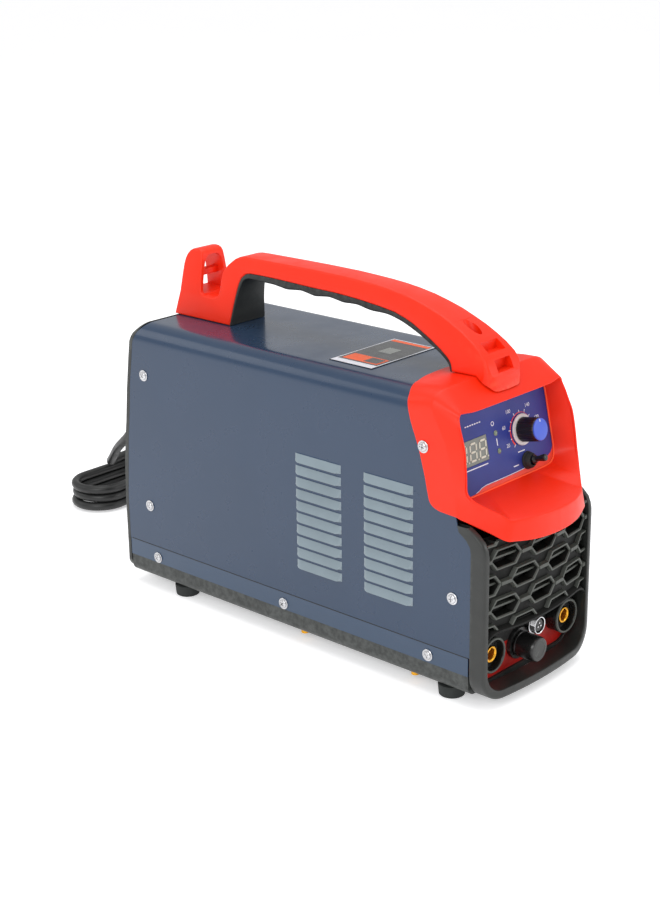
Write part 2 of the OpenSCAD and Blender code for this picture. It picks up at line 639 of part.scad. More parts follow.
// ---- inside -------------------------------------------------------------
module inner_frame() {
  color([0.7, 0.7, 0.72]) F() {
    translate([-0.8, 150, 31]) cube([1.6, 205, 163]);
    translate([-20, 150, 31]) cube([40, 205, 1.5]);
    for (y = [150, 353.4]) translate([-64, y, 196]) cube([128, 1.6, 8]);
    for (y = [150, 353.4]) translate([-8, y, 190]) cube([16, 1.6, 8]);
  }
}
module heatsinks() {
  color([0.72, 0.73, 0.75]) F() mirror2() {
    translate([2, 170, 110]) cube([6, 160, 78]);
    for (i = [0 : 8]) translate([7.5, 170, 111.5 + i*9]) cube([50, 160, 2.2]);
  }
}
module power_board() {
  color([0.1, 0.38, 0.22]) F() difference() {
    translate([-66, 110, 204.2]) cube([132, 262, 1.6]);
    for (x = [-60, 60], y = [118, 364]) translate([x, y, 200]) cylinder(h = 10, r = 1.8);
  }
}
module capacitors() {
  color([0.12, 0.14, 0.2]) F() for (x = [-44, 44], y = [150, 188]) translate([x, y, 205.9]) cylinder(h = 42, r = 15);
}
module power_modules() {
  color([0.08, 0.08, 0.09]) F() for (x = [-40, -16, 16, 40], y = [240, 275, 310]) translate([x - 8, y - 10, 205.9]) cube([16, 20, 8]);
}
module main_transformer() {
  color([0.25, 0.22, 0.2]) F() {
    difference() {
      translate([12, 62, 31.2]) cube([50, 62, 66]);
      translate([10, 74, 44]) cube([54, 14, 40]);
      translate([10, 98, 44]) cube([54, 14, 40]);
    }
  }
}
module output_choke() {
  color([0.6, 0.4, 0.15]) F() translate([-36, 100, 64]) rotate([0, 90, 0]) rotate_extrude($fn = 64) translate([21, 0]) circle(10, $fn = 32);
}
module igniter_coil() {
  color([0.2, 0.2, 0.25]) F() difference() {
    translate([-62, 46, 110]) cube([40, 46, 40]);
    translate([-50, 40, 122]) cube([16, 60, 16]);
  }
}
module gas_valve() {
  color([0.5, 0.5, 0.52]) F() {
    translate([50, 366, 92]) cube([20, 26, 20]);
    translate([60, 379, 112.1]) cylinder(h = 30, r = 10);
    cylY(gas_x, gas_z, 358.3, 367, 4);
  }
}
hose_path = [[60, 358, 102], [60, 350, 101.4], [59.4, 338, 92], [57, 326, 70], [52, 308, 50], [47, 285, 40], [44, 250, 38], [44, 200, 38], [40, 160, 38],
  [26, 142, 38], [4, 134, 37], [-12, 110, 36], [-14, 80, 36], [-8, 50, 36], [-5, 36, 36.5], [-5, 24.2, 36.5]];
module gas_hose() { color([0.1, 0.1, 0.1]) F() tube(smooth(hose_path, 2), 3.6, 8); }
module busbars() {
  color([0.75, 0.45, 0.25]) F() mirror2() translate([socket_x - 8, 32.1, socket_z - 8]) {
    cube([16, 3, 16]);
    translate([3, 2.9, 3]) cube([10, 20, 3]);
  }
}

// ---- mains lead ---------------------------------------------------------
function cr(a, b, c, d, t) = 0.5*((2*b) + (c - a)*t + (2*a - 5*b + 4*c - d)*t*t + (3*b - a - 3*c + d)*t*t*t);
function smooth(p, n) = concat([for (i = [0 : len(p) - 2]) for (j = [0 : n - 1])
  let(a = p[max(i - 1, 0)], b = p[i], c = p[i + 1], d = p[min(i + 2, len(p) - 1)]) cr(a, b, c, d, j/n)], [p[len(p) - 1]]);
function unit(v) = v/norm(v);
module tube(p, r, m) {
  n = len(p);
  pts = [for (i = [0 : n - 1]) let(t = unit(p[min(i + 1, n - 1)] - p[max(i - 1, 0)]),
      a = unit(cross(t, [0, 0, 1])), b = cross(a, t)) for (k = [0 : m - 1]) p[i] + r*(cos(360*k/m)*a + sin(360*k/m)*b)];
  faces = concat([[for (k = [0 : m - 1]) k]],
    [for (i = [0 : n - 2]) for (k = [0 : m - 1]) [i*m + k, (i + 1)*m + k, (i + 1)*m + (k + 1) % m]],
    [for (i = [0 : n - 2]) for (k = [0 : m - 1]) [i*m + k, (i + 1)*m + (k + 1) % m, i*m + (k + 1) % m]],
    [[for (k = [m - 1 : -1 : 0]) (n - 1)*m + k]]);
  polyhedron(pts, faces, convexity = 6);
}
cord_path = [[30, 455, 150], [30, 470, 149], [30, 500, 136], [32, 526, 114], [36, 550, 92], [45, 575, 74],
  [56, 597, 56], [68, 616, 43.5], [84, 631, 37], [104, 638.6, 35]];
module mains_cord() { color([0.08, 0.08, 0.08]) F() tube(smooth(cord_path, 3), cord_d/2, 10); }
module cord_hank() {
  color([0.1, 0.1, 0.1]) F() translate([0, 0, 1.4]) difference() {
    linear_extrude(38) {
      translate([50, 578.5]) square([hank_run, 67]);
      translate([50, 612]) circle(33.5, $fn = 64);
      translate([50 + hank_run, 612]) circle(33.5, $fn = 64);
    }
    translate([0, 0, 28.8]) linear_extrude(20) translate([0, 560]) square([90, 100]);
  }
}
module cord_tie() {
  color([0.12, 0.12, 0.12]) F() translate([122, 0, 0]) rotate([90, 0, 90]) linear_extrude(12) difference() {
    union() { translate([577.2, 1]) square([69.6, 39.6]); translate([578.2, 0]) square([67.6, 41.6]); }
    translate([578.4, 1.3]) square([67.2, 38.2]);
  }
}
module mains_plug() {
  color([0.1, 0.1, 0.1]) F() {
    translate([96, 556, 19.2]) rotate([0, 90, 0]) cylinder(h = 40, r = 16);
    translate([80, 556, 19.2]) rotate([0, 90, 0]) cylinder(h = 17, r = 19);
    translate([136, 556, 19.2]) rotate([0, 90, 0]) cylinder(h = 18, r1 = 8, r2 = 5.4);
    for (q = [[0, 9.5], [0, -9.5]]) translate([61, 556 + q[1], 19.2]) rotate([0, 90, 0]) cylinder(h = 20, r = 2.4);
  }
}

cover();
base_pan();
base_tray();
feet();
foot_screws();
base_screws();
side_screws();
front_bezel();
front_grille();
socket_plate();
socket_collars();
socket_insert_left();
socket_insert_right();
gas_outlet();
gas_outlet_cap();
torch_socket();
hood();
hood_screws();
control_plate();
panel_overlay();
display_module();
display_lens();
indicator_leds();
potentiometer();
knob_shaft();
knob_skirt();
current_knob();
knob_cap();
toggle_body();
toggle_lever();
control_board();
handle_shell();
handle_grip();
handle_screws();
label_plate();
rear_panel();
fan_frame();
fan_rotor();
fan_guard();
switch_housing();
switch_rocker();
cable_gland();
strain_relief();
gas_inlet();
earth_stud();
inner_frame();
heatsinks();
power_board();
capacitors();
power_modules();
main_transformer();
output_choke();
igniter_coil();
gas_valve();
gas_hose();
busbars();
mains_cord();
cord_hank();
cord_tie();
mains_plug();
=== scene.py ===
"""Looks of the TIG welder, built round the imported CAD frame."""

import json
import math
import random

import bmesh
import bpy
import numpy as np
from mathutils import Matrix, Vector

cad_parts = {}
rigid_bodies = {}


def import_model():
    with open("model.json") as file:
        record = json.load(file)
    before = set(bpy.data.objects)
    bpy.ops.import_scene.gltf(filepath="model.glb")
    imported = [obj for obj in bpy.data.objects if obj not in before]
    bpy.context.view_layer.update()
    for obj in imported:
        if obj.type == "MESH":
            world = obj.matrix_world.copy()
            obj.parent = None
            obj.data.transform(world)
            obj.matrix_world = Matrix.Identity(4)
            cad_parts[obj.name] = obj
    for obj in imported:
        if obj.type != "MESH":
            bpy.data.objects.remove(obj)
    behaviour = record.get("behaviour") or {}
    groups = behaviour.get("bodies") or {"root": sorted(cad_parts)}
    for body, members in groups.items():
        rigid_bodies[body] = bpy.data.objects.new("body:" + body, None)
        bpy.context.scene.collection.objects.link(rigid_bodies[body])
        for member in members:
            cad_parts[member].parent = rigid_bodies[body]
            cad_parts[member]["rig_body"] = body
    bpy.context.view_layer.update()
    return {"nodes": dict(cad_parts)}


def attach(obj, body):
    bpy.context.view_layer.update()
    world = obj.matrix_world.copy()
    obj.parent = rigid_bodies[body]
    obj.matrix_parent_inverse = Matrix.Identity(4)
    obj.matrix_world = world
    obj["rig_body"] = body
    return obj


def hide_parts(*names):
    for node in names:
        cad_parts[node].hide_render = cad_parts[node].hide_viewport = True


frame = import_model()
NODES = frame["nodes"]
random.seed(11)
Y0 = -205.0
COL = bpy.context.scene.collection


# ------------------------------------------------------------------ helpers
def C(p):
    """Case coordinates in millimetres to metres in the frame."""
    return Vector((p[0] * 1e-3, (p[1] + Y0) * 1e-3, p[2] * 1e-3))


SIN12, COS12 = math.sin(math.radians(12)), math.cos(math.radians(12))


def PAN(x, out, s):
    """Control panel: across, outwards, up the slope."""
    return (x, 18.7 - out * COS12 + s * SIN12, 177.5 + out * SIN12 + s * COS12)


def lin(c):
    return c / 12.92 if c <= 0.04045 else ((c + 0.055) / 1.055) ** 2.4


def srgb(r, g, b):
    return (lin(r / 255), lin(g / 255), lin(b / 255), 1.0)


def catmull(pts, n, closed=False):
    """Points of any dimension, n steps a span."""
    p = [np.array(q, float) for q in pts]
    m = len(p)
    out = []
    spans = m if closed else m - 1
    for i in range(spans):
        if closed:
            a, b, c, d = p[i - 1], p[i], p[(i + 1) % m], p[(i + 2) % m]
        else:
            a, b, c, d = p[max(i - 1, 0)], p[i], p[i + 1], p[min(i + 2, m - 1)]
        for k in range(n):
            t = k / n
            out.append(0.5 * (2 * b + (c - a) * t + (2 * a - 5 * b + 4 * c - d) * t * t + (3 * b - a - 3 * c + d) * t**3))
    if not closed:
        out.append(p[-1])
    return out


def interp(table, v):
    """Linear look-up in a list of (key, value) with rising keys."""
    if v <= table[0][0]:
        return table[0][1]
    for (a, fa), (b, fb) in zip(table, table[1:]):
        if v <= b:
            return fa + (fb - fa) * (v - a) / (b - a)
    return table[-1][1]


def new_object(name, me, mats, body):
    o = bpy.data.objects.new(name, me)
    COL.objects.link(o)
    for m in mats if isinstance(mats, (list, tuple)) else [mats]:
        me.materials.append(m)
    if body:
        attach(o, body)
    return o


def shade(o, angle=38.0):
    me = o.data
    me.polygons.foreach_set("use_smooth", [True] * len(me.polygons))
    me.set_sharp_from_angle(angle=math.radians(angle))
    me.update()


def make(name, verts, faces, mat, body="case", angle=38.0, merge=0.0005, recalc=True, conv=C):
    me = bpy.data.meshes.new(name)
    me.from_pydata([conv(v) for v in verts], [], faces)
    bm = bmesh.new()
    bm.from_mesh(me)
    if merge:
        bmesh.ops.remove_doubles(bm, verts=bm.verts, dist=merge * 1e-3)
    bmesh.ops.dissolve_degenerate(bm, dist=1e-7, edges=bm.edges)
    if recalc:
        bmesh.ops.recalc_face_normals(bm, faces=bm.faces)
    bm.to_mesh(me)
    bm.free()
    o = new_object(name, me, mat, body)
    shade(o, angle)
    return o


def grid(rows, close_v=False, close_u=False, flip=False):
    """Vertices and quads of rows of points."""
    nu, nv = len(rows), len(rows[0])
    verts = [p for r in rows for p in r]
    faces = []
    for i in range(nu if close_u else nu - 1):
        for j in range(nv if close_v else nv - 1):
            a = i * nv + j
            b = i * nv + (j + 1) % nv
            c = ((i + 1) % nu) * nv + (j + 1) % nv
            d = ((i + 1) % nu) * nv + j
            faces.append((a, d, c, b) if flip else (a, b, c, d))
    return verts, faces


def apply_mods(o):
    dg = bpy.context.evaluated_depsgraph_get()
    dg.update()
    me = bpy.data.meshes.new_from_object(o.evaluated_get(dg))
    old = o.data
    o.modifiers.clear()
    o.data = me
    me.name = old.name + "_m"
    return o


def solidify(o, t, offset=-1.0):
    m = o.modifiers.new("sol", "SOLIDIFY")
    m.thickness = t * 1e-3
    m.offset = offset
    m.use_even_offset = True
    return apply_mods(o)


def bevel(o, w, seg=3, angle=35.0, limit=True):
    m = o.modifiers.new("bev", "BEVEL")
    m.width = w * 1e-3
    m.segments = seg
    m.limit_method = "ANGLE"
    m.angle_limit = math.radians(angle)
    m.use_clamp_overlap = limit
    m.miter_outer = "MITER_ARC"
    apply_mods(o)
    shade(o, 40)
    return o


def cut(o, cutter, op="DIFFERENCE", keep=False):
    m = o.modifiers.new("cut", "BOOLEAN")
    m.operation = op
    m.solver = "EXACT"
    m.object = cutter
    apply_mods(o)
    if not keep:
        bpy.data.objects.remove(cutter)
    return o


def prism(name, poly, a, b, place, mat, body="case", angle=38.0):
    """Outline of (u, v) points extruded from a to b; place(u, v, w) gives case coordinates."""
    n = len(poly)
    verts = [place(u, v, a) for u, v in poly] + [place(u, v, b) for u, v in poly]
    faces = [tuple(range(n))[::-1], tuple(range(n, 2 * n))]
    faces += [(i, (i + 1) % n, n + (i + 1) % n, n + i) for i in range(n)]
    return make(name, verts, faces, mat, body, angle)


def lathe(name, prof, org, axis, mat, body="case", n=64, angle=30.0, conv=C, phase=0.0):
    """Profile of (radius, height) turned about an axis through org (case mm)."""
    axis = Vector(axis).normalized()
    ref = Vector((0, 0, 1)) if abs(axis.z) < 0.9 else Vector((1, 0, 0))
    e1 = axis.cross(ref).normalized()
    e2 = axis.cross(e1)
    org = Vector(org)
    rows = []
    for r, h in prof:
        r = max(r, 0.0001)
        rows.append([org + axis * h + (e1 * math.cos(t) + e2 * math.sin(t)) * r for t in [2 * math.pi * k / n + phase for k in range(n)]])
    v, f = grid(rows, close_v=True)
    return make(name, v, f, mat, body, angle, merge=0.003, conv=conv)


def join(name, objs):
    """Joins meshes that share their materials into one piece."""
    base = objs[0]
    bm = bmesh.new()
    mats = []
    for o in objs:
        for m in o.data.materials:
            if m not in mats:
                mats.append(m)
    for o in objs:
        tmp = o.data.copy()
        start = len(bm.faces)
        bm.from_mesh(tmp)
        bm.faces.ensure_lookup_table()
        for i in range(start, len(bm.faces)):
            fc = bm.faces[i]
            src = o.data.materials[min(fc.material_index, len(o.data.materials) - 1)]
            fc.material_index = mats.index(src)
        bpy.data.meshes.remove(tmp)
    me = bpy.data.meshes.new(name)
    bm.to_mesh(me)
    bm.free()
    for m in mats:
        me.materials.append(m)
    body = base["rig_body"]
    for o in objs:
        bpy.data.objects.remove(o)
    o = bpy.data.objects.new(name, me)
    COL.objects.link(o)
    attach(o, body)
    return o


# ---------------------------------------------------------------- materials
def material(name, color, rough, metal=0.0, coat=0.0, coat_rough=0.12, grain=0.3, bump=0.03, var=0.06, rvar=0.08,
             wear=None, spec=0.5, patch=18.0, emission=None, sheen=0.0, dust=0.0, transmission=0.0, second=None):
    """Painted, moulded or plated surface. grain is the bump's size in millimetres."""
    m = bpy.data.materials.new(name)
    m.use_nodes = True
    nt = m.node_tree
    bs = nt.nodes["Principled BSDF"]
    tc = nt.nodes.new("ShaderNodeTexCoord")
    obj = tc.outputs["Object"]

    def noise(scale, detail=3.0, rough_=0.55):
        n = nt.nodes.new("ShaderNodeTexNoise")
        n.inputs["Scale"].default_value = scale
        n.inputs["Detail"].default_value = detail
        n.inputs["Roughness"].default_value = rough_
        nt.links.new(obj, n.inputs["Vector"])
        return n.outputs["Fac"]

    big = noise(patch, 4.0)
    fine = noise(1000.0 / max(grain, 0.05) * 0.5, 2.0)
    mix = nt.nodes.new("ShaderNodeMix")
    mix.data_type = "RGBA"
    c = Vector(color[:3])
    mix.inputs["A"].default_value = (*(c * (1 - var)), 1)
    c2 = Vector(second[:3]) if second else c * (1 + var)
    mix.inputs["B"].default_value = (*[min(x, 1.0) for x in c2], 1)
    ramp = nt.nodes.new("ShaderNodeMapRange")
    ramp.inputs["From Min"].default_value = 0.3
    ramp.inputs["From Max"].default_value = 0.7
    nt.links.new(big, ramp.inputs["Value"])
    nt.links.new(ramp.outputs["Result"], mix.inputs["Factor"])
    colour = mix.outputs["Result"]
    if wear is not None:
        geo = nt.nodes.new("ShaderNodeNewGeometry")
        edge = nt.nodes.new("ShaderNodeMapRange")
        edge.inputs["From Min"].default_value = wear[1]
        edge.inputs["From Max"].default_value = wear[2]
        edge.inputs["To Max"].default_value = wear[3]
        nt.links.new(geo.outputs["Pointiness"], edge.inputs["Value"])
        brk = nt.nodes.new("ShaderNodeMath")
        brk.operation = "MULTIPLY"
        sp = nt.nodes.new("ShaderNodeMapRange")
        sp.inputs["From Min"].default_value = 0.35
        sp.inputs["From Max"].default_value = 0.65
        nt.links.new(noise(220.0, 3.0), sp.inputs["Value"])
        nt.links.new(edge.outputs["Result"], brk.inputs[0])
        nt.links.new(sp.outputs["Result"], brk.inputs[1])
        wm = nt.nodes.new("ShaderNodeMix")
        wm.data_type = "RGBA"
        wm.inputs["B"].default_value = wear[0]
        nt.links.new(colour, wm.inputs["A"])
        nt.links.new(brk.outputs["Value"], wm.inputs["Factor"])
        colour = wm.outputs["Result"]
    nt.links.new(colour, bs.inputs["Base Color"])
    rr = nt.nodes.new("ShaderNodeMapRange")
    rr.inputs["From Min"].default_value = 0.25
    rr.inputs["From Max"].default_value = 0.75
    rr.inputs["To Min"].default_value = max(rough - rvar, 0.03)
    rr.inputs["To Max"].default_value = min(rough + rvar, 1.0)
    nt.links.new(noise(patch * 3.1, 5.0), rr.inputs["Value"])
    nt.links.new(rr.outputs["Result"], bs.inputs["Roughness"])
    bp = nt.nodes.new("ShaderNodeBump")
    bp.inputs["Strength"].default_value = 1.0
    bp.inputs["Distance"].default_value = bump * 1e-3
    nt.links.new(fine, bp.inputs["Height"])
    nt.links.new(bp.outputs["Normal"], bs.inputs["Normal"])
    bs.inputs["Metallic"].default_value = metal
    bs.inputs["Specular IOR Level"].default_value = spec
    if coat:
        bs.inputs["Coat Weight"].default_value = coat
        bs.inputs["Coat Roughness"].default_value = coat_rough
    if sheen:
        bs.inputs["Sheen Weight"].default_value = sheen
    if transmission:
        bs.inputs["Transmission Weight"].default_value = transmission
    if emission:
        bs.inputs["Emission Color"].default_value = emission[0]
        bs.inputs["Emission Strength"].default_value = emission[1]
    m.diffuse_color = color
    return m


M = {}
M["paint"] = material("paint_slate", srgb(30, 52, 78), 0.3, coat=0.4, coat_rough=0.1, grain=0.9, bump=0.008, var=0.04, patch=9, spec=0.35)
# louvre faces: the cover paint made lighter and silvery, a painted highlight for the light their upward tilt catches
M["louvre"] = material("louvre_painted_highlight", srgb(120, 134, 142), 0.34, coat=0.4, coat_rough=0.14, grain=0.9, bump=0.02, var=0.06, patch=30)
M["pan"] = material("paint_pan", srgb(34, 58, 84), 0.34, coat=0.3, coat_rough=0.18, grain=0.9, bump=0.02, var=0.05, patch=12)
M["red"] = material("moulded_red", srgb(232, 38, 4), 0.42, grain=0.5, bump=0.016, var=0.04, patch=14, spec=0.3,
                    wear=(srgb(255, 120, 84), 0.54, 0.64, 0.4))
# lighter orange-red for the bead round the hood opening: painted highlight along the lip of the same red moulding
M["rim"] = material("red_rim_painted_highlight", srgb(250, 84, 40), 0.42, grain=0.5, bump=0.012, var=0.04, patch=20, spec=0.35)
M["handle"] = material("handle_red", srgb(232, 40, 6), 0.42, grain=0.5, bump=0.018, var=0.04, patch=16, spec=0.3,
                       wear=(srgb(255, 124, 88), 0.54, 0.64, 0.4))
M["black"] = material("bezel_black", srgb(34, 36, 34), 0.44, grain=0.6, bump=0.03, var=0.1, patch=30, spec=0.5,
                      wear=(srgb(110, 114, 110), 0.53, 0.64, 0.5))
# grille and pocket black: the bezel plastic made darker, painted shade in the deep cells and the socket pocket
M["grille"] = material("grille_black_painted_shade", srgb(13, 14, 12), 0.6, grain=0.6, bump=0.02, var=0.1, patch=40, spec=0.2)
# ridge grey: the same black plastic made lighter, a painted highlight where the ridge faces catch the light; also used
# for the socket collar rims
M["ridge"] = material("grille_ridge_painted_highlight", srgb(66, 69, 64), 0.52, grain=0.5, bump=0.02, var=0.1, patch=60)
# near-black fill: painted shade behind the grille cells and over the socket plate; also the dark seam joint on the
# cover
M["void"] = material("joint_and_painted_shade_dark", srgb(14, 14, 13), 0.7, grain=1, bump=0.02)
M["tray"] = material("tray_black", srgb(40, 43, 41), 0.5, grain=0.9, bump=0.05, var=0.1, patch=25,
                     wear=(srgb(96, 99, 97), 0.53, 0.66, 0.45))
M["rubber"] = material("foot_rubber", srgb(30, 34, 33), 0.75, grain=0.7, bump=0.05, var=0.15, patch=60)
M["grip"] = material("grip_rubber", srgb(20, 23, 22), 0.55, grain=0.8, bump=0.05, var=0.12, patch=40,
                     wear=(srgb(72, 78, 76), 0.52, 0.62, 0.6))
M["zinc"] = material("zinc_plated", srgb(200, 200, 202), 0.28, metal=1.0, grain=0.4, bump=0.01, var=0.08, patch=90, rvar=0.1)
M["chrome"] = material("chrome", srgb(214, 214, 216), 0.16, metal=1.0, grain=0.4, bump=0.004, var=0.05, patch=120, rvar=0.05)
M["brass"] = material("brass", srgb(222, 160, 48), 0.26, metal=1.0, grain=0.3, bump=0.012, var=0.12, patch=150, rvar=0.1)
# bore brass: the insert's brass made darker and less metallic, painted shade inside the socket bore
M["brass_dark"] = material("brass_bore_painted_shade", srgb(196, 126, 28), 0.4, metal=0.7, grain=0.3, bump=0.012, var=0.15, patch=150, rvar=0.1)
M["gloss"] = material("gloss_black", srgb(20, 20, 20), 0.3, grain=0.5, bump=0.008, var=0.15, patch=60,
                      wear=(srgb(90, 92, 90), 0.53, 0.64, 0.5))
M["knob"] = material("knob_black", srgb(17, 17, 18), 0.34, grain=0.4, bump=0.012, var=0.15, patch=120,
                     wear=(srgb(70, 72, 74), 0.53, 0.62, 0.4))
M["blue"] = material("panel_blue", srgb(30, 44, 124), 0.4, grain=0.5, bump=0.01, var=0.10, patch=14, second=srgb(44, 56, 136), spec=0.35)
M["capblue"] = material("cap_blue", srgb(58, 86, 196), 0.36, grain=0.4, bump=0.008, var=0.06, patch=60)
M["white"] = material("knob_white", srgb(206, 206, 206), 0.42, grain=0.4, bump=0.01, var=0.05, patch=80)
M["print"] = material("print_white", srgb(214, 216, 224), 0.45, grain=0.3, bump=0.006, var=0.06, patch=150)
M["printred"] = material("print_red", srgb(222, 58, 34), 0.42, grain=0.3, bump=0.006, var=0.06, patch=120)
M["window"] = material("window_grey", srgb(112, 117, 110), 0.16, grain=0.4, bump=0.002, var=0.06, patch=40, coat=0.6, coat_rough=0.05)
M["segment"] = material("segment_pale", srgb(196, 196, 180), 0.4, grain=0.3, bump=0.004, var=0.04, patch=80)
M["led"] = material("led_lens", srgb(104, 122, 100), 0.2, grain=0.3, bump=0.004, var=0.1, patch=200, coat=0.5)
M["plate_red"] = material("socket_red", srgb(176, 22, 12), 0.42, grain=0.4, bump=0.01, var=0.1, patch=30)
M["label"] = material("label_black", srgb(34, 35, 39), 0.3, grain=0.4, bump=0.006, var=0.1, patch=40, coat=0.3)
M["orange"] = material("label_orange", srgb(236, 92, 34), 0.4, grain=0.3, bump=0.005, var=0.06, patch=60)
M["cord"] = material("cord_jacket", srgb(22, 23, 23), 0.42, grain=0.5, bump=0.012, var=0.1, patch=60)
M["pcb"] = material("board_green", srgb(28, 92, 54), 0.35, grain=1.2, bump=0.05, var=0.2, patch=120, second=srgb(46, 120, 66))
M["alu"] = material("extruded_alu", srgb(178, 180, 184), 0.38, metal=1.0, grain=0.5, bump=0.02, var=0.08, patch=60, rvar=0.12)
M["sleeve"] = material("capacitor_sleeve", srgb(28, 34, 56), 0.34, grain=0.5, bump=0.01, var=0.08, patch=60, coat=0.3)
M["module"] = material("module_epoxy", srgb(24, 24, 26), 0.6, grain=0.4, bump=0.03, var=0.1, patch=100)
M["ferrite"] = material("ferrite_grey", srgb(64, 60, 58), 0.7, grain=0.6, bump=0.05, var=0.12, patch=50)
M["copper"] = material("copper_bar", srgb(196, 118, 74), 0.3, metal=1.0, grain=0.4, bump=0.012, var=0.12, patch=90, rvar=0.1)
M["wire"] = material("guard_wire", srgb(128, 130, 132), 0.32, metal=1.0, grain=0.5, bump=0.01, var=0.08, patch=80)
M["steel"] = material("frame_steel", srgb(160, 162, 166), 0.4, metal=1.0, grain=1.0, bump=0.02, var=0.1, patch=35, rvar=0.12)
M["fan"] = material("fan_black", srgb(26, 27, 28), 0.48, grain=0.6, bump=0.03, var=0.1, patch=60)
M["rocker"] = material("rocker_red", srgb(176, 24, 18), 0.3, grain=0.4, bump=0.008, var=0.08, patch=90)
M["floor"] = material("floor_pale", srgb(246, 246, 247), 0.6, grain=8, bump=0.02, var=0.008, patch=1.5, rvar=0.05, spec=0.2,
                      emission=(srgb(250, 250, 251), 0.4))

# ------------------------------------------------------- camera and lights
cam_data = bpy.data.cameras.new("camera")
cam = bpy.data.objects.new("camera", cam_data)
COL.objects.link(cam)
loc = Vector((-1.0941, -0.9883, 0.6697))
look = Vector((0.0, 0.0172, 0.1476))
fwd = (look - loc).normalized()
r0 = fwd.cross(Vector((0, 0, 1))).normalized()
u0 = r0.cross(fwd)
roll = math.radians(-0.83)
right = r0 * math.cos(roll) + u0 * math.sin(roll)
up = u0 * math.cos(roll) - r0 * math.sin(roll)
rot = Matrix((right, up, -fwd)).transposed()
cam.matrix_world = Matrix.Translation(loc) @ rot.to_4x4()
cam_data.sensor_fit = "AUTO"
cam_data.sensor_width = 36
cam_data.lens = 1713.8 * 36 / 900
cam_data.shift_x = 0.0
cam_data.shift_y = 13.5 / 900
cam_data.clip_start, cam_data.clip_end = 0.05, 50
bpy.context.scene.camera = cam
bpy.context.scene.view_settings.view_transform = "Standard"


def area(name, place, target, size, power, color=(1, 1, 1)):
    d = bpy.data.lights.new(name, "AREA")
    d.shape = "RECTANGLE"
    d.size, d.size_y = size
    d.energy = power
    d.color = color
    o = bpy.data.objects.new(name, d)
    o.location = place
    o.rotation_euler = (Vector(target) - Vector(place)).to_track_quat("-Z", "Y").to_euler()
    COL.objects.link(o)
    return o


area("key", (-2.0, -0.7, 1.3), (0, 0, 0.15), (1.2, 1.0), 20)
area("top", (0.1, 0.1, 1.9), (0, 0.05, 0.2), (1.5, 1.6), 16)
area("front", (1.0, -1.8, 0.8), (0.0, -0.1, 0.15), (0.9, 0.9), 9)
area("back", (-1.2, 1.7, 1.3), (0, 0.1, 0.2), (1.2, 1.0), 5)
world = bpy.data.worlds.new("studio")
bpy.context.scene.world = world
world.use_nodes = True
world.node_tree.nodes["Background"].inputs["Color"].default_value = (1, 1, 1, 1)
world.node_tree.nodes["Background"].inputs["Strength"].default_value = 0.66

fl = bpy.data.meshes.new("floor")
fl.from_pydata([(-14, -14, 0), (14, -14, 0), (14, 14, 0), (-14, 14, 0)], [], [(0, 1, 2, 3)])
floor = bpy.data.objects.new("floor", fl)
fl.materials.append(M["floor"])
COL.objects.link(floor)

# ------------------------------------------------------------- mains lead
CD = 9.5
HR = 28.5
HX0, HX1, HY = 50.0, 180.0, 612.0


def turn(cx, r, z0, z1, right_side, dx=0.0, steps=18):
    """Half a turn of the hank; right side goes from rear strand to front strand."""
    pts = []
    for k in range(steps + 1):
        t = math.pi * k / steps
        if right_side:
            pts.append((cx + r * math.sin(t) + dx * math.sin(t), HY + r * math.cos(t), z0 + (z1 - z0) * k / steps))
        else:
            pts.append((cx - (r + dx) * math.sin(t), HY - r * math.cos(t), z0 + (z1 - z0) * k / steps))
    return pts


arc_pts = [(30, 455, 150), (30, 470, 149), (30.5, 485, 144), (31, 500, 136), (32.5, 526, 114), (36, 550, 92), (45, 575, 74),
           (56, 597, 56), (68, 616, 43.5), (84, 631, 37), (103, 638.6, 34.8), (122, HY + HR, 34.7)]
lead = [tuple(p) for p in catmull(arc_pts, 5)][:-1]


def strand(x0, x1, y, z0, z1, n=10):
    return [(x0 + (x1 - x0) * k / n, y, z0 + (z1 - z0) * k / n) for k in range(n)]


ZL = [34.7, 25.2, 15.7, 6.2]
lead += strand(122, HX1, HY + HR, ZL[0], ZL[0], 4)
for i in range(3):
    lead += turn(HX1, HR, ZL[i], ZL[i], True)[:-1]
    lead += strand(HX1, HX0, HY - HR, ZL[i], ZL[i + 1])
    lead += turn(HX0, HR, ZL[i + 1], ZL[i + 1], False, dx=(0, -1.5, 1.0)[i])[:-1]
    lead += strand(HX0, HX1, HY + HR, ZL[i + 1], ZL[i + 1])
exit_arc = turn(HX1, HR, ZL[3], ZL[3], True, steps=18)[:10]
lead += exit_arc
tail = [exit_arc[-1], (208.7, 603, 6.4), (208, 592, 7.2), (204, 578, 9.6), (196, 566, 13.4), (184, 558.5, 17.2), (170, 556, 19.2), (150, 556, 19.2)]
lead += [tuple(p) for p in catmull(tail, 4)][1:]

cu = bpy.data.curves.new("mains_lead", "CURVE")
cu.dimensions = "3D"
cu.bevel_depth = CD / 2 * 1e-3
cu.bevel_resolution = 6
cu.use_fill_caps = True
sp = cu.splines.new("POLY")
sp.points.add(len(lead) - 1)
for pt, p in zip(sp.points, lead):
    pt.co = (*C(p), 1)
sp.use_smooth = True
cord = bpy.data.objects.new("mains_lead", cu)
COL.objects.link(cord)
cu.materials.append(M["cord"])
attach(cord, "case")
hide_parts("mains_cord", "cord_hank")

# strain relief: tapered sleeve with ribs
prof = [(0.5, 424.6), (8.2, 424.6), (8.2, 429)]
for y in (430, 436, 442, 448):
    ra = 8.2 - (y - 425) * 0.08
    prof += [(ra, y - 0.6), (ra - 0.3, y), (ra - 1.7, y + 0.4), (ra - 1.7, y + 1.8), (ra - 0.45, y + 2.2), (ra - 0.2, y + 2.8)]
prof += [(6.0, 454), (5.6, 455), (4.75, 455), (4.75, 453)]
relief = lathe("strain_relief_v", prof, (30, 0, 150), (0, 1, 0), M["rubber"], n=48, angle=50)
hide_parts("strain_relief")

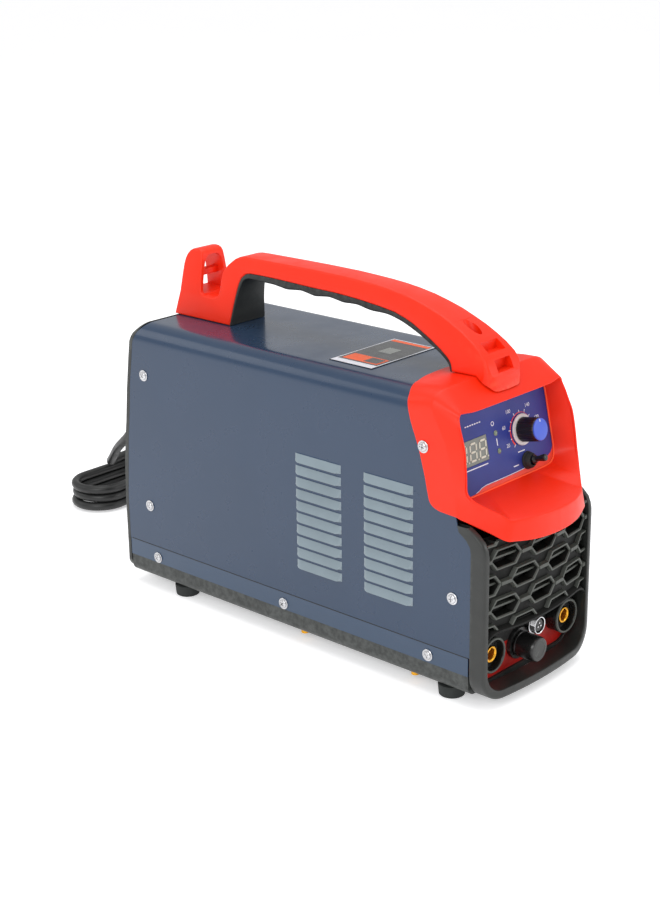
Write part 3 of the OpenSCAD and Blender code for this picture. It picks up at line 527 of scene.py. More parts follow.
# tie round the hank: a rounded band and its buckle
TX0, TX1 = 122.6, 133.4
y_a, y_b, z_a, z_b = HY - HR - 5.0, HY + HR + 5.0, 1.2, 40.0
loop = []
for cy, cz, a0 in ((y_b - 6, z_b - 6, 0), (y_a + 6, z_b - 6, 90), (y_a + 5, z_a + 5, 180), (y_b - 5, z_a + 5, 270)):
    r = 6 if cz > 20 else 5
    for k in range(9):
        t = math.radians(a0 + 90 * k / 8)
        loop.append((cy + r * math.cos(t), cz + r * math.sin(t), math.cos(t), math.sin(t)))
rows = []
for y, z, ny, nz in loop:
    sec = []
    for xx, dd in ((TX0, -0.1), (TX0 + 0.5, 0.7), (TX0 + 1.6, 0.95), (TX1 - 1.6, 0.95), (TX1 - 0.5, 0.7), (TX1, -0.1)):
        sec.append((xx, y + ny * dd, max(z + nz * dd, 0.15)))
    rows.append(sec)
v, f = grid(rows, close_u=True, close_v=True)
tie = make("cord_tie_band", v, f, M["rubber"], angle=50)
buckle = prism("cord_tie_buckle", [(121, 590), (135, 590), (135, 604), (121, 604)], 39.6, 41.5, lambda u, w, h: (u, w, h), M["gloss"])
bevel(buckle, 0.8, 3)
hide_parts("cord_tie")

# plug: moulded body with finger flange and two pins
PC = (0, 556, 19.2)
plug = lathe("plug_body", [(0.5, 80.2), (17.2, 80.2), (18.6, 81), (18.9, 82.6), (18.9, 94.6), (18.2, 96), (16.4, 97.2), (15.6, 99), (15.2, 104), (14.2, 108),
                           (14.4, 112), (15.6, 118), (15.9, 124), (15.2, 130), (12.6, 135), (9, 137), (7.9, 139), (7.6, 142), (6.3, 142.4), (6.3, 144),
                           (7.2, 144.4), (7.0, 147), (5.9, 147.4), (5.9, 149), (6.6, 149.4), (6.2, 152.8), (5.2, 153.8), (4.75, 153.8)],
             PC, (1, 0, 0), M["gloss"], n=56, angle=50)
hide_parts("mains_plug")
pins = []
for dy in (-9.5, 9.5):
    pins.append(lathe("pin", [(0.05, 61.2), (1.6, 61.3), (2.3, 62.6), (2.4, 64), (2.4, 81)], (0, 556 + dy, 19.2), (1, 0, 0), M["chrome"], n=24))
pins = join("plug_pins", pins)

# ------------------------------------------------------------------ cover
HALF, TOP, BR = 75.0, 265.6, 17.0
FRONT_Z = [(47, 0), (142, 0), (147.3, 1.3), (150.8, 4.4), (153.2, 8.6), (156.5, 12.7), (161.3, 14.3), (168, 16), (182, 20), (216, 30), (248, 42), (266, 47)]
REAR_Z = [(47, 420), (90, 420), (126, 417), (151, 415), (184, 411), (208, 409), (224, 406), (248, 402.6), (257, 398.5), (265.6, 391.4)]


def louvre_bump(y, z):
    """Outward height of the pressed louvres, millimetres."""
    if not 76 < z < 187:
        return 0.0
    i = math.floor((z - 74.6) / 11.1)
    if not 0 <= i <= 9:
        return 0.0
    u = (z - 74.6 - i * 11.1) / 11.1          # 0 at the lower edge of the band
    h = 0.0
    for a, b in ((141.0, 194.0), (61.0, 115.0)):
        if a < y < b:
            e = min(y - a, b - y)
            end = 1.0 - max(0.0, 1 - e / 5.5) ** 2
            rise = 0.0
            lo_edge = 0.13 + 0.13 * (1 - end)
            if u < lo_edge:
                rise = 0.0
            elif u < lo_edge + 0.07:
                rise = (u - lo_edge) / 0.07
            else:
                rise = max(0.0, 1 - (u - lo_edge - 0.07) / (0.93 - lo_edge - 0.07)) ** 0.85
            h = 2.9 * rise * math.sqrt(max(end, 0.0))
    return h


sec = []   # (x, z, nx) down the left side, over the top, down the right
zs = [47, 49, 54, 60, 66, 72, 74.6]
for i in range(10):
    z0 = 74.6 + i * 11.1
    zs += [z0 + 11.1 * q for q in (0.07, 0.13, 0.165, 0.2, 0.24, 0.32, 0.45, 0.6, 0.75, 0.88, 0.95, 1.0)]
zs += [190, 196, 204, 212, 220, 228, 236, 243, 248.6]
left = [(-HALF, z) for z in zs]
bend = [(-HALF + BR - BR * math.cos(t), TOP - BR + BR * math.sin(t)) for t in [math.pi / 2 * k / 14 for k in range(1, 15)]]
top_line = [(-58 + 116 * k / 24, TOP) for k in range(1, 25)]
bend_r = [(-x, z) for x, z in reversed(bend)][1:] + [(HALF, TOP - BR)]
right_side = [(HALF, z) for z in reversed(zs[:-1])]
sec = left + bend + top_line[:-1] + [(58.0, TOP)] + bend_r + right_side
ys = [0, 3, 8, 15, 24, 34, 44, 55, 59, 60.4, 61]
ys += [61 + k * 0.9 for k in range(1, 9)] + [61 + 7.2 + k * (39.6 / 12) for k in range(1, 13)] + [107.8 + k * 0.9 for k in range(1, 9)]
ys += [115.6, 118, 124, 131, 137, 140.3, 141]
ys += [141 + k * 0.9 for k in range(1, 9)] + [148.2 + k * (38.6 / 12) for k in range(1, 13)] + [186.8 + k * 0.9 for k in range(1, 9)]
ys += [194.6, 197, 203, 215, 230, 250, 270, 290, 310, 330, 348, 365, 378, 390, 400, 410, 416, 420]
ys = sorted(set(round(y, 3) for y in ys))
rows = []
for x, z in sec:
    yf, yr = interp(FRONT_Z, z), interp(REAR_Z, z)
    row = []
    for y in ys:
        if y <= 55:
            yy = yf + (55 - yf) * y / 55
        elif y >= 365:
            yy = 365 + (yr - 365) * (y - 365) / 55
        else:
            yy = y
        b = louvre_bump(yy, z) if abs(x) == HALF else 0.0
        row.append((x + math.copysign(b, x) if b else x, yy, z))
    rows.append(row)
v, f = grid(rows)
cover = make("cover_sheet", v, f, [M["paint"], M["louvre"]], angle=42, recalc=False)
if sum(p.normal.z for p in cover.data.polygons) < 0:
    bm = bmesh.new()
    bm.from_mesh(cover.data)
    bmesh.ops.reverse_faces(bm, faces=bm.faces)
    bm.to_mesh(cover.data)
    bm.free()
# faces pressed out past the side get the lighter louvre colour: painted highlight
for p in cover.data.polygons:
    cs = [cover.data.vertices[i].co for i in p.vertices]
    if max(abs(c.x) for c in cs) > 0.0753:
        p.material_index = 1
solidify(cover, 1.2)
shade(cover, 42)
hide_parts("cover")
for sgn, nm in ((-1, "left"), (1, "right")):
    sl = prism("cover_seam_" + nm, [(1.5, 46.35), (418, 46.35), (418, 47.15), (1.5, 47.15)], 74.4, 75.04, lambda u, w, h, sgn=sgn: (sgn * h, u, w), M["void"])

# ------------------------------------------------------------------- hood
# rear edge, mid, crease, opening rim (case mm), then the panel edge (across, up the slope)
HOOD = [
    [(0, 82, 267), (0, 60, 269.8), (0, 38, 270.4), (0, 15, 252), (0, 70.6)],
    [(12, 82, 267), (12, 60, 269.8), (12, 38, 270.4), (12, 15, 252), (12, 70.6)],
    [(24, 81.4, 267), (24, 60, 269.8), (24, 38, 270.3), (24, 15, 252), (24, 70.6)],
    [(38, 79.6, 267), (39, 59, 269.7), (40, 38, 270.2), (42, 15, 252.1), (42, 70.6)],
    [(50, 76.2, 267), (51, 57, 269.5), (52, 38.3, 269.9), (54, 15.2, 252.4), (54, 70.6)],
    [(59, 73.6, 266.8), (60.5, 56, 269), (62, 39, 269.2), (61.5, 15.9, 253.4), (60.6, 70.2)],
    [(66.5, 70.5, 265.4), (68, 55, 267), (69.2, 39.8, 267), (67.0, 16.9, 254.0), (64.0, 68.4)],
    [(72.3, 67.6, 262.2), (73.3, 54, 263.4), (74.2, 40.6, 263.4), (69.8, 16.6, 252.0), (65.1, 64.8)],
    [(75.9, 66.3, 257.5), (76.3, 53.5, 258), (76.6, 40.6, 258.2), (70.6, 16.2, 249), (65.2, 60.5)],
    [(77, 65, 250.5), (77, 51.5, 250.5), (77, 38, 250.5), (72, 13.6, 242.5), (65.3, 55)],
    [(77, 62.4, 241), (77, 47, 240.5), (77, 31.8, 240), (72.8, 10.4, 234.5), (65.3, 48.5)],
    [(77, 58.5, 231), (77, 42.5, 229), (77, 25.9, 228), (74, 7.2, 226), (65.3, 41)],
    [(77, 54.3, 220.5), (77, 38.5, 219), (77, 22.4, 217.5), (75, 5.4, 216), (65.3, 32.5)],
    [(77, 50, 206), (77, 34.6, 205), (77, 19, 205), (76, 3.9, 204), (65.3, 22.5)],
    [(77, 46.8, 194), (77, 31.5, 193), (77, 16.8, 192.5), (76.6, 2.6, 192), (65.2, 14)],
    [(77, 44.4, 183.4), (77, 29.8, 182.6), (77, 15, 182), (73.4, -0.7, 186.5), (64.4, 8.4)],
    [(77, 41.6, 175), (77, 28, 174.8), (77, 13.6, 174.6), (68.4, -5, 182), (62, 4.2)],
    [(77, 34, 170.7), (77, 24, 170.9), (77, 12.9, 171.2), (63, -9.5, 178), (58, 1.6)],
    [(77, 22, 169.6), (77, 17.5, 169.5), (76.8, 12.2, 169.1), (60.4, -11.8, 176), (53, 0.7)],
    [(72.6, 15, 168.4), (74.4, 13.9, 168.3), (75.9, 10.6, 167.4), (58.6, -13.4, 174.7), (48, 0.5)],
    [(66, 5.6, 163), (68, 4.4, 162.8), (70, 2.2, 162.5), (55.6, -15.9, 172.2), (43, 0.5)],
    [(58, -6.8, 156.6), (60, -8.2, 156.3), (62.2, -10, 156), (52.6, -18.6, 169.4), (38, 0.5)],
    [(51.6, -16.2, 151.6), (53.3, -17.7, 151.1), (55.4, -20.4, 150.4), (49.8, -20.9, 167.2), (33, 0.5)],
    [(45, -19.3, 149.8), (46.2, -21.4, 149.5), (47.6, -24.6, 149.2), (44.4, -24.1, 167), (28, 0.5)],
    [(30, -24.2, 148.4), (30.6, -27, 148.1), (31.4, -30.7, 147.8), (30, -29.8, 167), (19, 0.5)],
    [(15, -27.6, 147.9), (15.2, -30.4, 147.6), (15.6, -34, 147.3), (15, -32.8, 167), (9.5, 0.5)],
    [(0, -28.8, 147.8), (0, -31.6, 147.5), (0, -35, 147.1), (0, -33.8, 167), (0, 0.5)],
]


def fillet(pts, radii, fills, seg=5):
    """Polyline with its inner corners rounded; fills says how many points to add on each straight."""
    pts = [np.array(p, float) for p in pts]
    out = [pts[0]]
    last = pts[0]
    for i in range(1, len(pts) - 1):
        a, b, c = pts[i - 1], pts[i], pts[i + 1]
        la, lc = np.linalg.norm(a - b), np.linalg.norm(c - b)
        r = min(radii[i - 1], 0.46 * la, 0.46 * lc)
        pa, pc = b + (a - b) / la * r, b + (c - b) / lc * r
        for k in range(1, fills[i - 1] + 1):
            out.append(last + (pa - last) * k / (fills[i - 1] + 1))
        for k in range(seg + 1):
            t = k / seg
            out.append((1 - t) ** 2 * pa + 2 * t * (1 - t) * b + t * t * pc)
        last = pc
    for k in range(1, fills[-1] + 1):
        out.append(last + (pts[-1] - last) * k / (fills[-1] + 1))
    out.append(pts[-1])
    return out


flat = []
for R, Mi, A, B, I in HOOD:
    flat.append(list(R) + list(Mi) + list(A) + list(B) + list(PAN(I[0], 1.0, I[1])))
dense = catmull(flat, 6)
half_rows = []
for d in dense:
    R, Mi, A, B, I = (np.array(d[3 * k: 3 * k + 3]) for k in range(5))
    R[0], Mi[0], A[0] = min(R[0], 77), min(Mi[0], 77), min(A[0], 77)
    # the edge folds towards the cover
    if R[2] > 262:
        E = R + np.array([0, 0, -1.3])
    elif R[1] > 16 or R[2] > 168.5:
        k = min(1.0, max(0.0, (R[2] - 250) / 12))
        E = R + np.array([-1.7 * (1 - k), 0, -1.3 * k])
    else:
        E = R + np.array([0, 0.8, 1.2])
    I2 = I + np.array([0, 2.9, -0.6])
    half_rows.append(fillet([E, R, Mi, A, B, I, I2], [0.7, 8, 1.3, 1.6, 0.9], [0, 4, 4, 6, 8, 0], 5))
rows = [[(-p[0], p[1], p[2]) for p in r] for r in reversed(half_rows[1:])] + [[tuple(p) for p in r] for r in half_rows]
v, f = grid(rows)
hood = make("hood_shell", v, f, M["red"], angle=50)
ref = min(hood.data.polygons, key=lambda p: (p.center - C((77, 40, 215))).length)
if ref.normal.x < 0:
    bm = bmesh.new()
    bm.from_mesh(hood.data)
    bmesh.ops.reverse_faces(bm, faces=bm.faces)
    bm.to_mesh(hood.data)
    bm.free()
solidify(hood, 1.6)
shade(hood, 50)
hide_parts("hood")
edge_i = [Vector(d[12:15]) for d in dense]
edge_i = [Vector((-q.x, q.y, q.z)) for q in reversed(edge_i[1:])] + edge_i[:-1]
bead_rows = []
nb = len(edge_i)
for i in range(nb):
    tan = (edge_i[(i + 1) % nb] - edge_i[i - 1]).normalized()
    out_n = Vector((0, -COS12, SIN12))
    sd = tan.cross(out_n).normalized()
    nn = sd.cross(tan).normalized()
    bead_rows.append([edge_i[i] + sd * 0.75 * math.cos(t) + nn * 0.75 * math.sin(t) for t in [2 * math.pi * k / 10 for k in range(10)]])
v, f = grid(bead_rows, close_u=True, close_v=True)
# bead round the opening in the lighter rim red: painted highlight
bead = make("hood_bead", v, f, M["rim"], angle=60)


# ----------------------------------------------------------------- screws
def pan_screw(name, y, z, x0, side, body="case"):
    """Pan head with a cross recess on a washer; side is -1 or 1."""
    ax = (side, 0, 0)
    parts = [lathe(name + "w", [(0.1, 0.0), (5.2, 0.0), (5.3, 0.15), (5.3, 0.75), (5.1, 0.9), (3.6, 0.9)], (x0, y, z), ax, M["zinc"], n=40)]
    head = lathe(name + "h", [(0.1, 0.7), (3.9, 0.7), (4.0, 1.1), (3.9, 1.6), (3.5, 2.1), (2.7, 2.42), (1.6, 2.55), (0.02, 2.6)], (x0, y, z), ax, M["zinc"], n=40)
    rot_ = random.uniform(0, math.pi / 2)
    for k in (0, 1):
        t = rot_ + k * math.pi / 2
        c_, s_ = math.cos(t), math.sin(t)
        poly = [(-2.3, -0.42), (2.3, -0.42), (2.3, 0.42), (-2.3, 0.42)]
        w = prism("x", poly, 1.5, 3.4, lambda u, q, h, c_=c_, s_=s_: (x0 + side * h, y + u * c_ - q * s_, z + u * s_ + q * c_), M["zinc"], body=None)
        cut(head, w)
    shade(head, 35)
    parts.append(head)
    return parts


UP_S = [(388.8, 217.4), (388.7, 87.2), (18.6, 96.1)]
LOW_S = [(381, 35.2), (213, 35.3), (44.7, 36.6)]
ps = []
for side in (-1, 1):
    for i, (y, z) in enumerate(UP_S):
        ps += pan_screw("s", y, z, side * 75.05, side)
    for i, (y, z) in enumerate(LOW_S):
        ps += pan_screw("s", y, z, side * 74.75, side)
side_screws = join("side_screws_v", ps)
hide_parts("side_screws")
ps = []
for side in (-1, 1):
    ps += pan_screw("s", 48.6, 222.1, side * 77.02, side)
hs = join("hood_screws_v", ps)
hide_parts("hood_screws")

# ------------------------------------------------------------------ bezel
def ring(w, z0, r, ztop, n=10):
    """Open U outline, left top to right top."""
    pts = [(-w, ztop - (ztop - z0 - r) * k / 24) for k in range(24)]
    pts += [(-w + r - r * math.cos(math.pi / 2 * k / n), z0 + r - r * math.sin(math.pi / 2 * k / n)) for k in range(n)]
    pts += [(-(w - r) + 2 * (w - r) * k / 16, z0) for k in range(16)]
    pts += [(w - r + r * math.sin(math.pi / 2 * k / n), z0 + r - r * math.cos(math.pi / 2 * k / n)) for k in range(n)]
    pts += [(w, z0 + r + (ztop - z0 - r) * k / 24) for k in range(25)]
    return pts


ROLL = [(138, 0.0), (142, 0.25), (147.5, 1.6), (151, 3.4), (154, 6.0), (158, 11.5), (161, 17.0), (163, 20)]
BACK = [(142, -0.4), (147.3, 0.8), (150.8, 3.9), (153.2, 8.1), (156.5, 12.2), (161.3, 13.8), (163, 14.2)]


def face_y(x, z):
    return -22 + x * x / 824 + interp(ROLL, z)


outer = ring(76, 7.5, 25, 162)
inner = ring(70.2, 16, 19, 162)
rows = []
for (xo, zo), (xi, zi) in zip(outer, inner):
    yo, yi = face_y(xo, zo), face_y(xi, zi)
    yb = interp(BACK, zo)
    P = [(xi, yi + 18, zi), (xi, yi + 0.2, zi), (xo, yo, zo), (xo, max(yb, yo + 1.5), zo)]
    rows.append([tuple(p) for p in fillet(P, [1.6, 5.6], [2, 2, 2], 6)] + [(xo * 0.985, max(yb, yo + 1.5) + 0.3, zo + (0.6 if zo < 20 else 0))])
v, f = grid(rows)
bez = make("bezel_frame", v, f, M["black"], angle=50)
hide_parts("front_bezel")

# ----------------------------------------------------------------- grille
def bow(x):
    return -20 + x * x / 824


gv, gf, gm = [], [], []     # vertices (x, depth, z), faces, material


def g_face(pts, m=0):
    k = len(gv)
    gv.extend(pts)
    gf.append(tuple(range(k, k + len(pts))))
    gm.append(m)


def hexagon(cx, cz, w, t, h):
    return [(cx - w, cz), (cx - t, cz + h), (cx + t, cz + h), (cx + w, cz), (cx + t, cz - h), (cx - t, cz - h)]


def clip_ok(x0, x1):
    return x1 > -70 and x0 < 70


RW = [(134, 0), (112, 24), (90, 0), (68, 24), (156, 24)]
D_TOP, D_WEB, D_BACK, D_SLAT = 0.0, 3.4, 9.5, 4.2
for zc, off in RW:
    for j in range(-2, 3):
        cx = off + j * 48 - (48 if off else 0) + (0 if off == 0 else 24 * 0)
        if not clip_ok(cx - 20, cx + 20):
            continue
        lines = [hexagon(cx, zc, 19.3, 11.9, 9.5), hexagon(cx, zc, 18.6, 11.4, 9.0), hexagon(cx, zc, 17.0, 10.4, 7.7), hexagon(cx, zc, 16.4, 10.0, 7.1), hexagon(cx, zc, 16.2, 9.8, 6.9)]
        deps = [D_WEB, D_TOP, D_TOP, D_TOP + 1.2, D_BACK]
        # outer wall, front face and upper inner wall of each ridge in the lighter ridge grey (painted highlight); deep
        # cell wall and web in the darker grille black (painted shade)
        mats_ = [1, 1, 1, 0]
        for (la, da), (lb, db), mm in zip(zip(lines, deps), zip(lines[1:], deps[1:]), mats_):
            for k in range(6):
                a0, a1, b1, b0 = la[k], la[(k + 1) % 6], lb[(k + 1) % 6], lb[k]
                g_face([(a0[0], da, a0[1]), (a1[0], da, a1[1]), (b1[0], db, b1[1]), (b0[0], db, b0[1])], mm)
        # web round the cell, behind the ridge
        H = hexagon(cx, zc, 19.3, 11.9, 9.5)
        g_face([(cx - 11.9, D_WEB, zc + 9.5), (cx + 11.9, D_WEB, zc + 9.5), (cx + 11.9, D_WEB, zc + 11), (cx - 11.9, D_WEB, zc + 11)])
        g_face([(cx - 11.9, D_WEB, zc - 9.5), (cx + 11.9, D_WEB, zc - 9.5), (cx + 11.9, D_WEB, zc - 11), (cx - 11.9, D_WEB, zc - 11)])
        for s in (-1, 1):
            for q in (-1, 1):
                g_face([(cx + s * 11.9, D_WEB, zc + q * 9.5), (cx + s * 19.3, D_WEB, zc), (cx + s * 24, D_WEB, zc), (cx + s * 24, D_WEB, zc + q * 11), (cx + s * 11.9, D_WEB, zc + q * 11)])
        # recessed slat across the cell: upper and front faces in the lighter ridge grey (painted highlight), lower face
        # in the darker grille black (painted shade)
        for (za, zb, da, db, mm) in ((0.9, 0.9, D_BACK, D_SLAT, 1), (0.9, -0.9, D_SLAT, D_SLAT, 1), (-0.9, -0.9, D_SLAT, D_BACK, 0)):
            g_face([(cx - 16.2, da, zc + za), (cx + 16.2, da, zc + za), (cx + 16.2, db, zc + zb), (cx - 16.2, db, zc + zb)], mm)
    # junction bars between the cells of a row, all in the lighter ridge grey: painted highlight
    for j in range(-2, 3):
        bx = (24 if off == 0 else 0) + j * 48
        if not clip_ok(bx - 8, bx + 8):
            continue
        a, b, h0, h1, d1 = bx - 6.6, bx + 6.6, 2.1, 1.5, -0.7
        base = [(a, D_WEB, zc + h0), (b, D_WEB, zc + h0), (b, D_WEB, zc - h0), (a, D_WEB, zc - h0)]
        topq = [(a + 0.4, d1, zc + h1), (b - 0.4, d1, zc + h1), (b - 0.4, d1, zc - h1), (a + 0.4, d1, zc - h1)]
        g_face(topq, 1)
        for k in range(4):
            g_face([base[k], base[(k + 1) % 4], topq[(k + 1) % 4], topq[k]], 1)
me = bpy.data.meshes.new("grille_web")
me.from_pydata([(x * 1e-3, d * 1e-3, z * 1e-3) for x, d, z in gv], [], gf)
for p, mm in zip(me.polygons, gm):
    p.material_index = mm
bm = bmesh.new()
bm.from_mesh(me)
bmesh.ops.remove_doubles(bm, verts=bm.verts, dist=2e-6)
for co, no in (((0.0698, 0, 0), (1, 0, 0)), ((-0.0698, 0, 0), (-1, 0, 0)), ((0, 0, 0.1505), (0, 0, 1)), ((0, 0, 0.0705), (0, 0, -1))):
    bmesh.ops.bisect_plane(bm, geom=bm.verts[:] + bm.edges[:] + bm.faces[:], plane_co=co, plane_no=no, clear_outer=True)
for v_ in bm.verts:
    x = v_.co.x * 1e3
    v_.co = C((x, bow(x) + 1.0 + v_.co.y * 1e3, v_.co.z * 1e3))
bm.to_mesh(me)
bm.free()
grille = new_object("grille_web", me, [M["grille"], M["ridge"]], "case")
shade(grille, 25)
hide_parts("front_grille")
# dark wall behind the cells: painted shade closing the view into the case
wall = [[(x, bow(x) + 12.5, z) for x in (-70, -35, 0, 35, 70)] for z in (70, 110, 151)]
v, f = grid(wall)
wall_o = make("grille_painted_shade_wall", v, f, M["void"], angle=60)

# pocket round the sockets: shelf, ridge line with arcs round the sockets, inner walls
SX, SZ = 52.3, 44.5
line = [(-70, 63.4), (-66, 67.0), (-61, 69.0), (-55, 69.6), (-48, 69.3), (-38, 68.6), (-24, 67.9), (-8, 67.5), (0, 67.4)]
line += [(-x, z) for x, z in reversed(line[:-1])]
line = [p for i, p in enumerate(line) if i == 0 or p[0] > line[i - 1][0] - 0.01]
ld = [tuple(p) for p in catmull(line, 3)]
rows = []
for x, z in ld:
    x = max(-70.0, min(70.0, x))
    yb_ = bow(x)
    rows.append([(x, yb_ + 4.4, z + 3.4), (x, yb_ + 0.6, z + 1.7), (x, yb_ - 0.2, z + 1.1), (x, yb_ - 0.2, z - 0.5), (x, yb_ + 0.5, z - 1.1), (x, 3.6, z - 1.4)])
v, f = grid(rows)
# shelf and apron in the darker grille black: painted shade in the pocket
shelf = make("socket_pocket_rim", v, f, [M["grille"]], angle=40)
# web between the lowest cells and the rim
rows = []
for x, z in ld:
    x = max(-70.0, min(70.0, x))
    rows.append([(x, bow(x) + 4.4, z + 3.0), (x, bow(x) + 4.45, max(z + 3.2, 72.0))])
v, f = grid(rows)
apron = make("socket_pocket_apron", v, f, [M["grille"]], angle=40)

# ---------------------------------------------------------------- sockets
# black sheet over the upper part of the red plate behind the sockets: painted shadow
mask = prism("socket_plate_painted_shadow", [(-69, 43), (69, 43), (69, 66.5), (-69, 66.5)], 3.72, 3.86, lambda u, w, h: (u, h, w), M["void"])
cols, rings_ = [], []
for s in (-1, 1):
    prof = [(15.5, 3.9), (15.5, -7.4), (15.2, -8.2), (14.6, -8.5), (13.9, -8.4), (13.4, -7.8), (13.3, -6.4), (13.3, -1.2), (12.6, -1.0), (7.3, -1.0), (7.25, 1.0)]
    cols.append(lathe("col", prof, (s * SX, 0, SZ), (0, 1, 0), M["gloss"], n=72, angle=40))
    # thin light grey ring on each black collar's edge: painted highlight
    prof = [(15.45, -6.9), (15.75, -7.3), (15.7, -7.9), (15.2, -8.6), (14.6, -8.85), (13.9, -8.75), (13.5, -8.3)]
    rings_.append(lathe("rng", prof, (s * SX, 0, SZ), (0, 1, 0), M["ridge"], n=72, angle=40))
collars = join("socket_collars_v", cols)
rims = join("socket_collar_rim_highlights", rings_)
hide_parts("socket_collars")
for s, nm in ((-1, "left"), (1, "right")):
    prof = [(7.2, -1.4), (7.2, -4.9), (6.9, -5.4), (6.3, -5.6), (5.4, -5.5), (4.95, -5.2), (4.6, -4.6)]
    a = lathe("ins", prof, (s * SX, 0, SZ), (0, 1, 0), M["brass"], n=64, angle=40)
    prof = [(4.6, -4.6), (4.5, -4.0), (4.5, 19.0), (0.05, 20.0)]
    # bore lined in the darker brass: painted shade
    b = lathe("bore", prof, (s * SX, 0, SZ), (0, 1, 0), M["brass_dark"], n=48, angle=40)
    # locking notch in the bore's edge
    n_ = prism("x", [(3.4, -1.3), (6.2, -1.3), (6.2, 1.3), (3.4, 1.3)], -7, -2.2, lambda u, w, h: (s * SX - 0 + w, h, SZ + u), M["brass"], body=None)
    cut(a, n_)
    shade(a, 35)
    ins = join("socket_insert_" + nm + "_v", [a, b])
    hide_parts("socket_insert_" + nm)

# gas outlet: base collar (CAD) and cap
prof = [(5.2, -0.4), (10.6, -0.3), (11.2, -0.9), (11.2, -2.2)]
prof += [(10.7, -2.6), (10.7, -3.4), (11.3, -3.8), (11.45, -9), (11.2, -17.4), (10.9, -19.4), (10.2, -20.6), (9.4, -20.95), (8.6, -20.9), (8.3, -20.5), (0.02, -20.4)]
cap = lathe("gas_cap_body", prof, (-5, 0, 36.5), (0, 1, 0), M["gloss"], body="gas_outlet_cap", n=72, angle=35)
disc = lathe("gas_cap_disc", [(8.7, -20.2), (8.6, -20.86), (8.2, -20.98), (6.9, -20.98), (6.6, -20.8), (0.02, -20.7)], (-5, 0, 36.5), (0, 1, 0), M["black"], body="gas_outlet_cap", n=64)
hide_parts("gas_outlet_cap")

# torch control socket: threaded chrome ring, black insert with two contacts
prof = [(8.9, 3.2), (9.15, 0.6), (9.15, -0.9), (8.6, -1.2), (7.9, -1.2)]
for k in range(5):
    y = -1.6 - k * 0.9
    prof += [(8.0, y), (7.6, y - 0.45)]
prof += [(7.9, -5.7), (7.6, -6.0), (7.0, -6.05), (6.7, -5.8), (6.6, -2.4)]
ts = lathe("torch_socket_ring", prof, (15.5, 0, 47.5), (0, 1, 0), M["chrome"], n=64, angle=30)
ti = lathe("torch_socket_insert", [(6.6, -2.6), (6.2, -3.0), (5.7, -4.6), (5.3, -4.9), (0.02, -4.95)], (15.5, 0, 47.5), (0, 1, 0), M["gloss"], n=56, angle=35)
tp = join("torch_socket_pins", [lathe("p", [(0.9, -4.8), (0.85, -5.5), (0.5, -5.8), (0.02, -5.85)], (15.5 + dx, 0, 47.5 + dz), (0, 1, 0), M["chrome"], n=20)
                               for dx, dz in ((-2, -0.9), (2, -0.9), (0, 2.2))])
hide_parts("torch_socket")

# ------------------------------------------------------------ knob, toggle
NP = (0, -COS12, SIN12)


def panel_org(x, s):
    return PAN(x, 0, s)


KX, KS = 26.0, 38.8
skirt = lathe("knob_skirt_v", [(4.4, 1.0), (13.2, 1.0), (13.5, 1.3), (13.5, 1.9), (13.1, 2.5), (12.2, 2.8), (10.6, 2.9)], panel_org(KX, KS), NP, M["white"], body="current_knob", n=72)
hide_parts("knob_skirt")
# fluted body
n_ang = 144
axis = Vector(NP)
e1 = axis.cross(Vector((0, 0, 1))).normalized()
e2 = axis.cross(e1)
org = Vector(panel_org(KX, KS))
rows = []
for h, r, fl_ in ((2.86, 10.2, 0), (3.1, 10.6, 0.2), (4.2, 10.6, 0.32), (10, 10.45, 0.32), (16, 10.3, 0.32), (18.4, 10.2, 0.3), (19.2, 9.9, 0.15), (19.7, 9.6, 0), (19.9, 9.2, 0), (19.9, 0.02, 0)):
    row = []
    for k in range(n_ang):
        t = 2 * math.pi * k / n_ang
        rr = r - fl_ * (0.5 + 0.5 * math.cos(24 * t))
        row.append(org + axis * h + (e1 * math.cos(t) + e2 * math.sin(t)) * rr)
    rows.append(row)
v, f = grid(rows, close_v=True)
kb = make("knob_body", v, f, M["knob"], body="current_knob", angle=40, merge=0.003)
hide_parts("current_knob")
kc = lathe("knob_cap_v", [(9.5, 19.8), (9.5, 20.6), (9.2, 21.0), (8.6, 21.15), (0.02, 21.2)], panel_org(KX, KS), NP, M["capblue"], body="current_knob", n=64)
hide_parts("knob_cap")
mark = prism("knob_mark", [(-0.5, 6.6), (0.5, 6.6), (0.5, 9.0), (-0.5, 9.0)], 21.12, 21.2,
             lambda u, w, h: tuple(org + axis * h + e1 * u * -1 + e2 * w * -1), M["print"], body="current_knob")

TX, TS = 28.0, 11.5
boot = lathe("toggle_boot", [(7.6, 0.4), (7.8, 1.0), (7.6, 1.8), (7.0, 2.2), (6.9, 3.6), (6.6, 5.0), (5.6, 6.4), (4.9, 7.0), (4.3, 6.6)], panel_org(TX, TS), NP, M["rubber"], n=56)
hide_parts("toggle_body")
a8 = math.radians(8 + 12)
LV = (0, -math.cos(a8), math.sin(a8))
lever = lathe("toggle_lever_v", [(0.02, -1.0), (1.8, -0.6), (2.1, 4), (3.3, 5.4), (3.9, 6.4), (3.9, 7.4), (3.2, 8.2), (2.4, 8.8), (2.3, 10), (2.4, 12), (2.9, 15.4), (3.1, 17.6), (2.8, 18.8), (1.9, 19.3), (0.02, 19.5)],
              tuple(Vector(PAN(TX, 1.5, TS))), LV, M["knob"], body="toggle_lever", n=40)
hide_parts("toggle_lever")

# --------------------------------------------------------- panel graphics
def on_panel(name, poly, out, th, mat, body="case"):
    return prism(name, poly, out, out + th, lambda u, w, h: PAN(u, h, w), mat, body)


marks = []
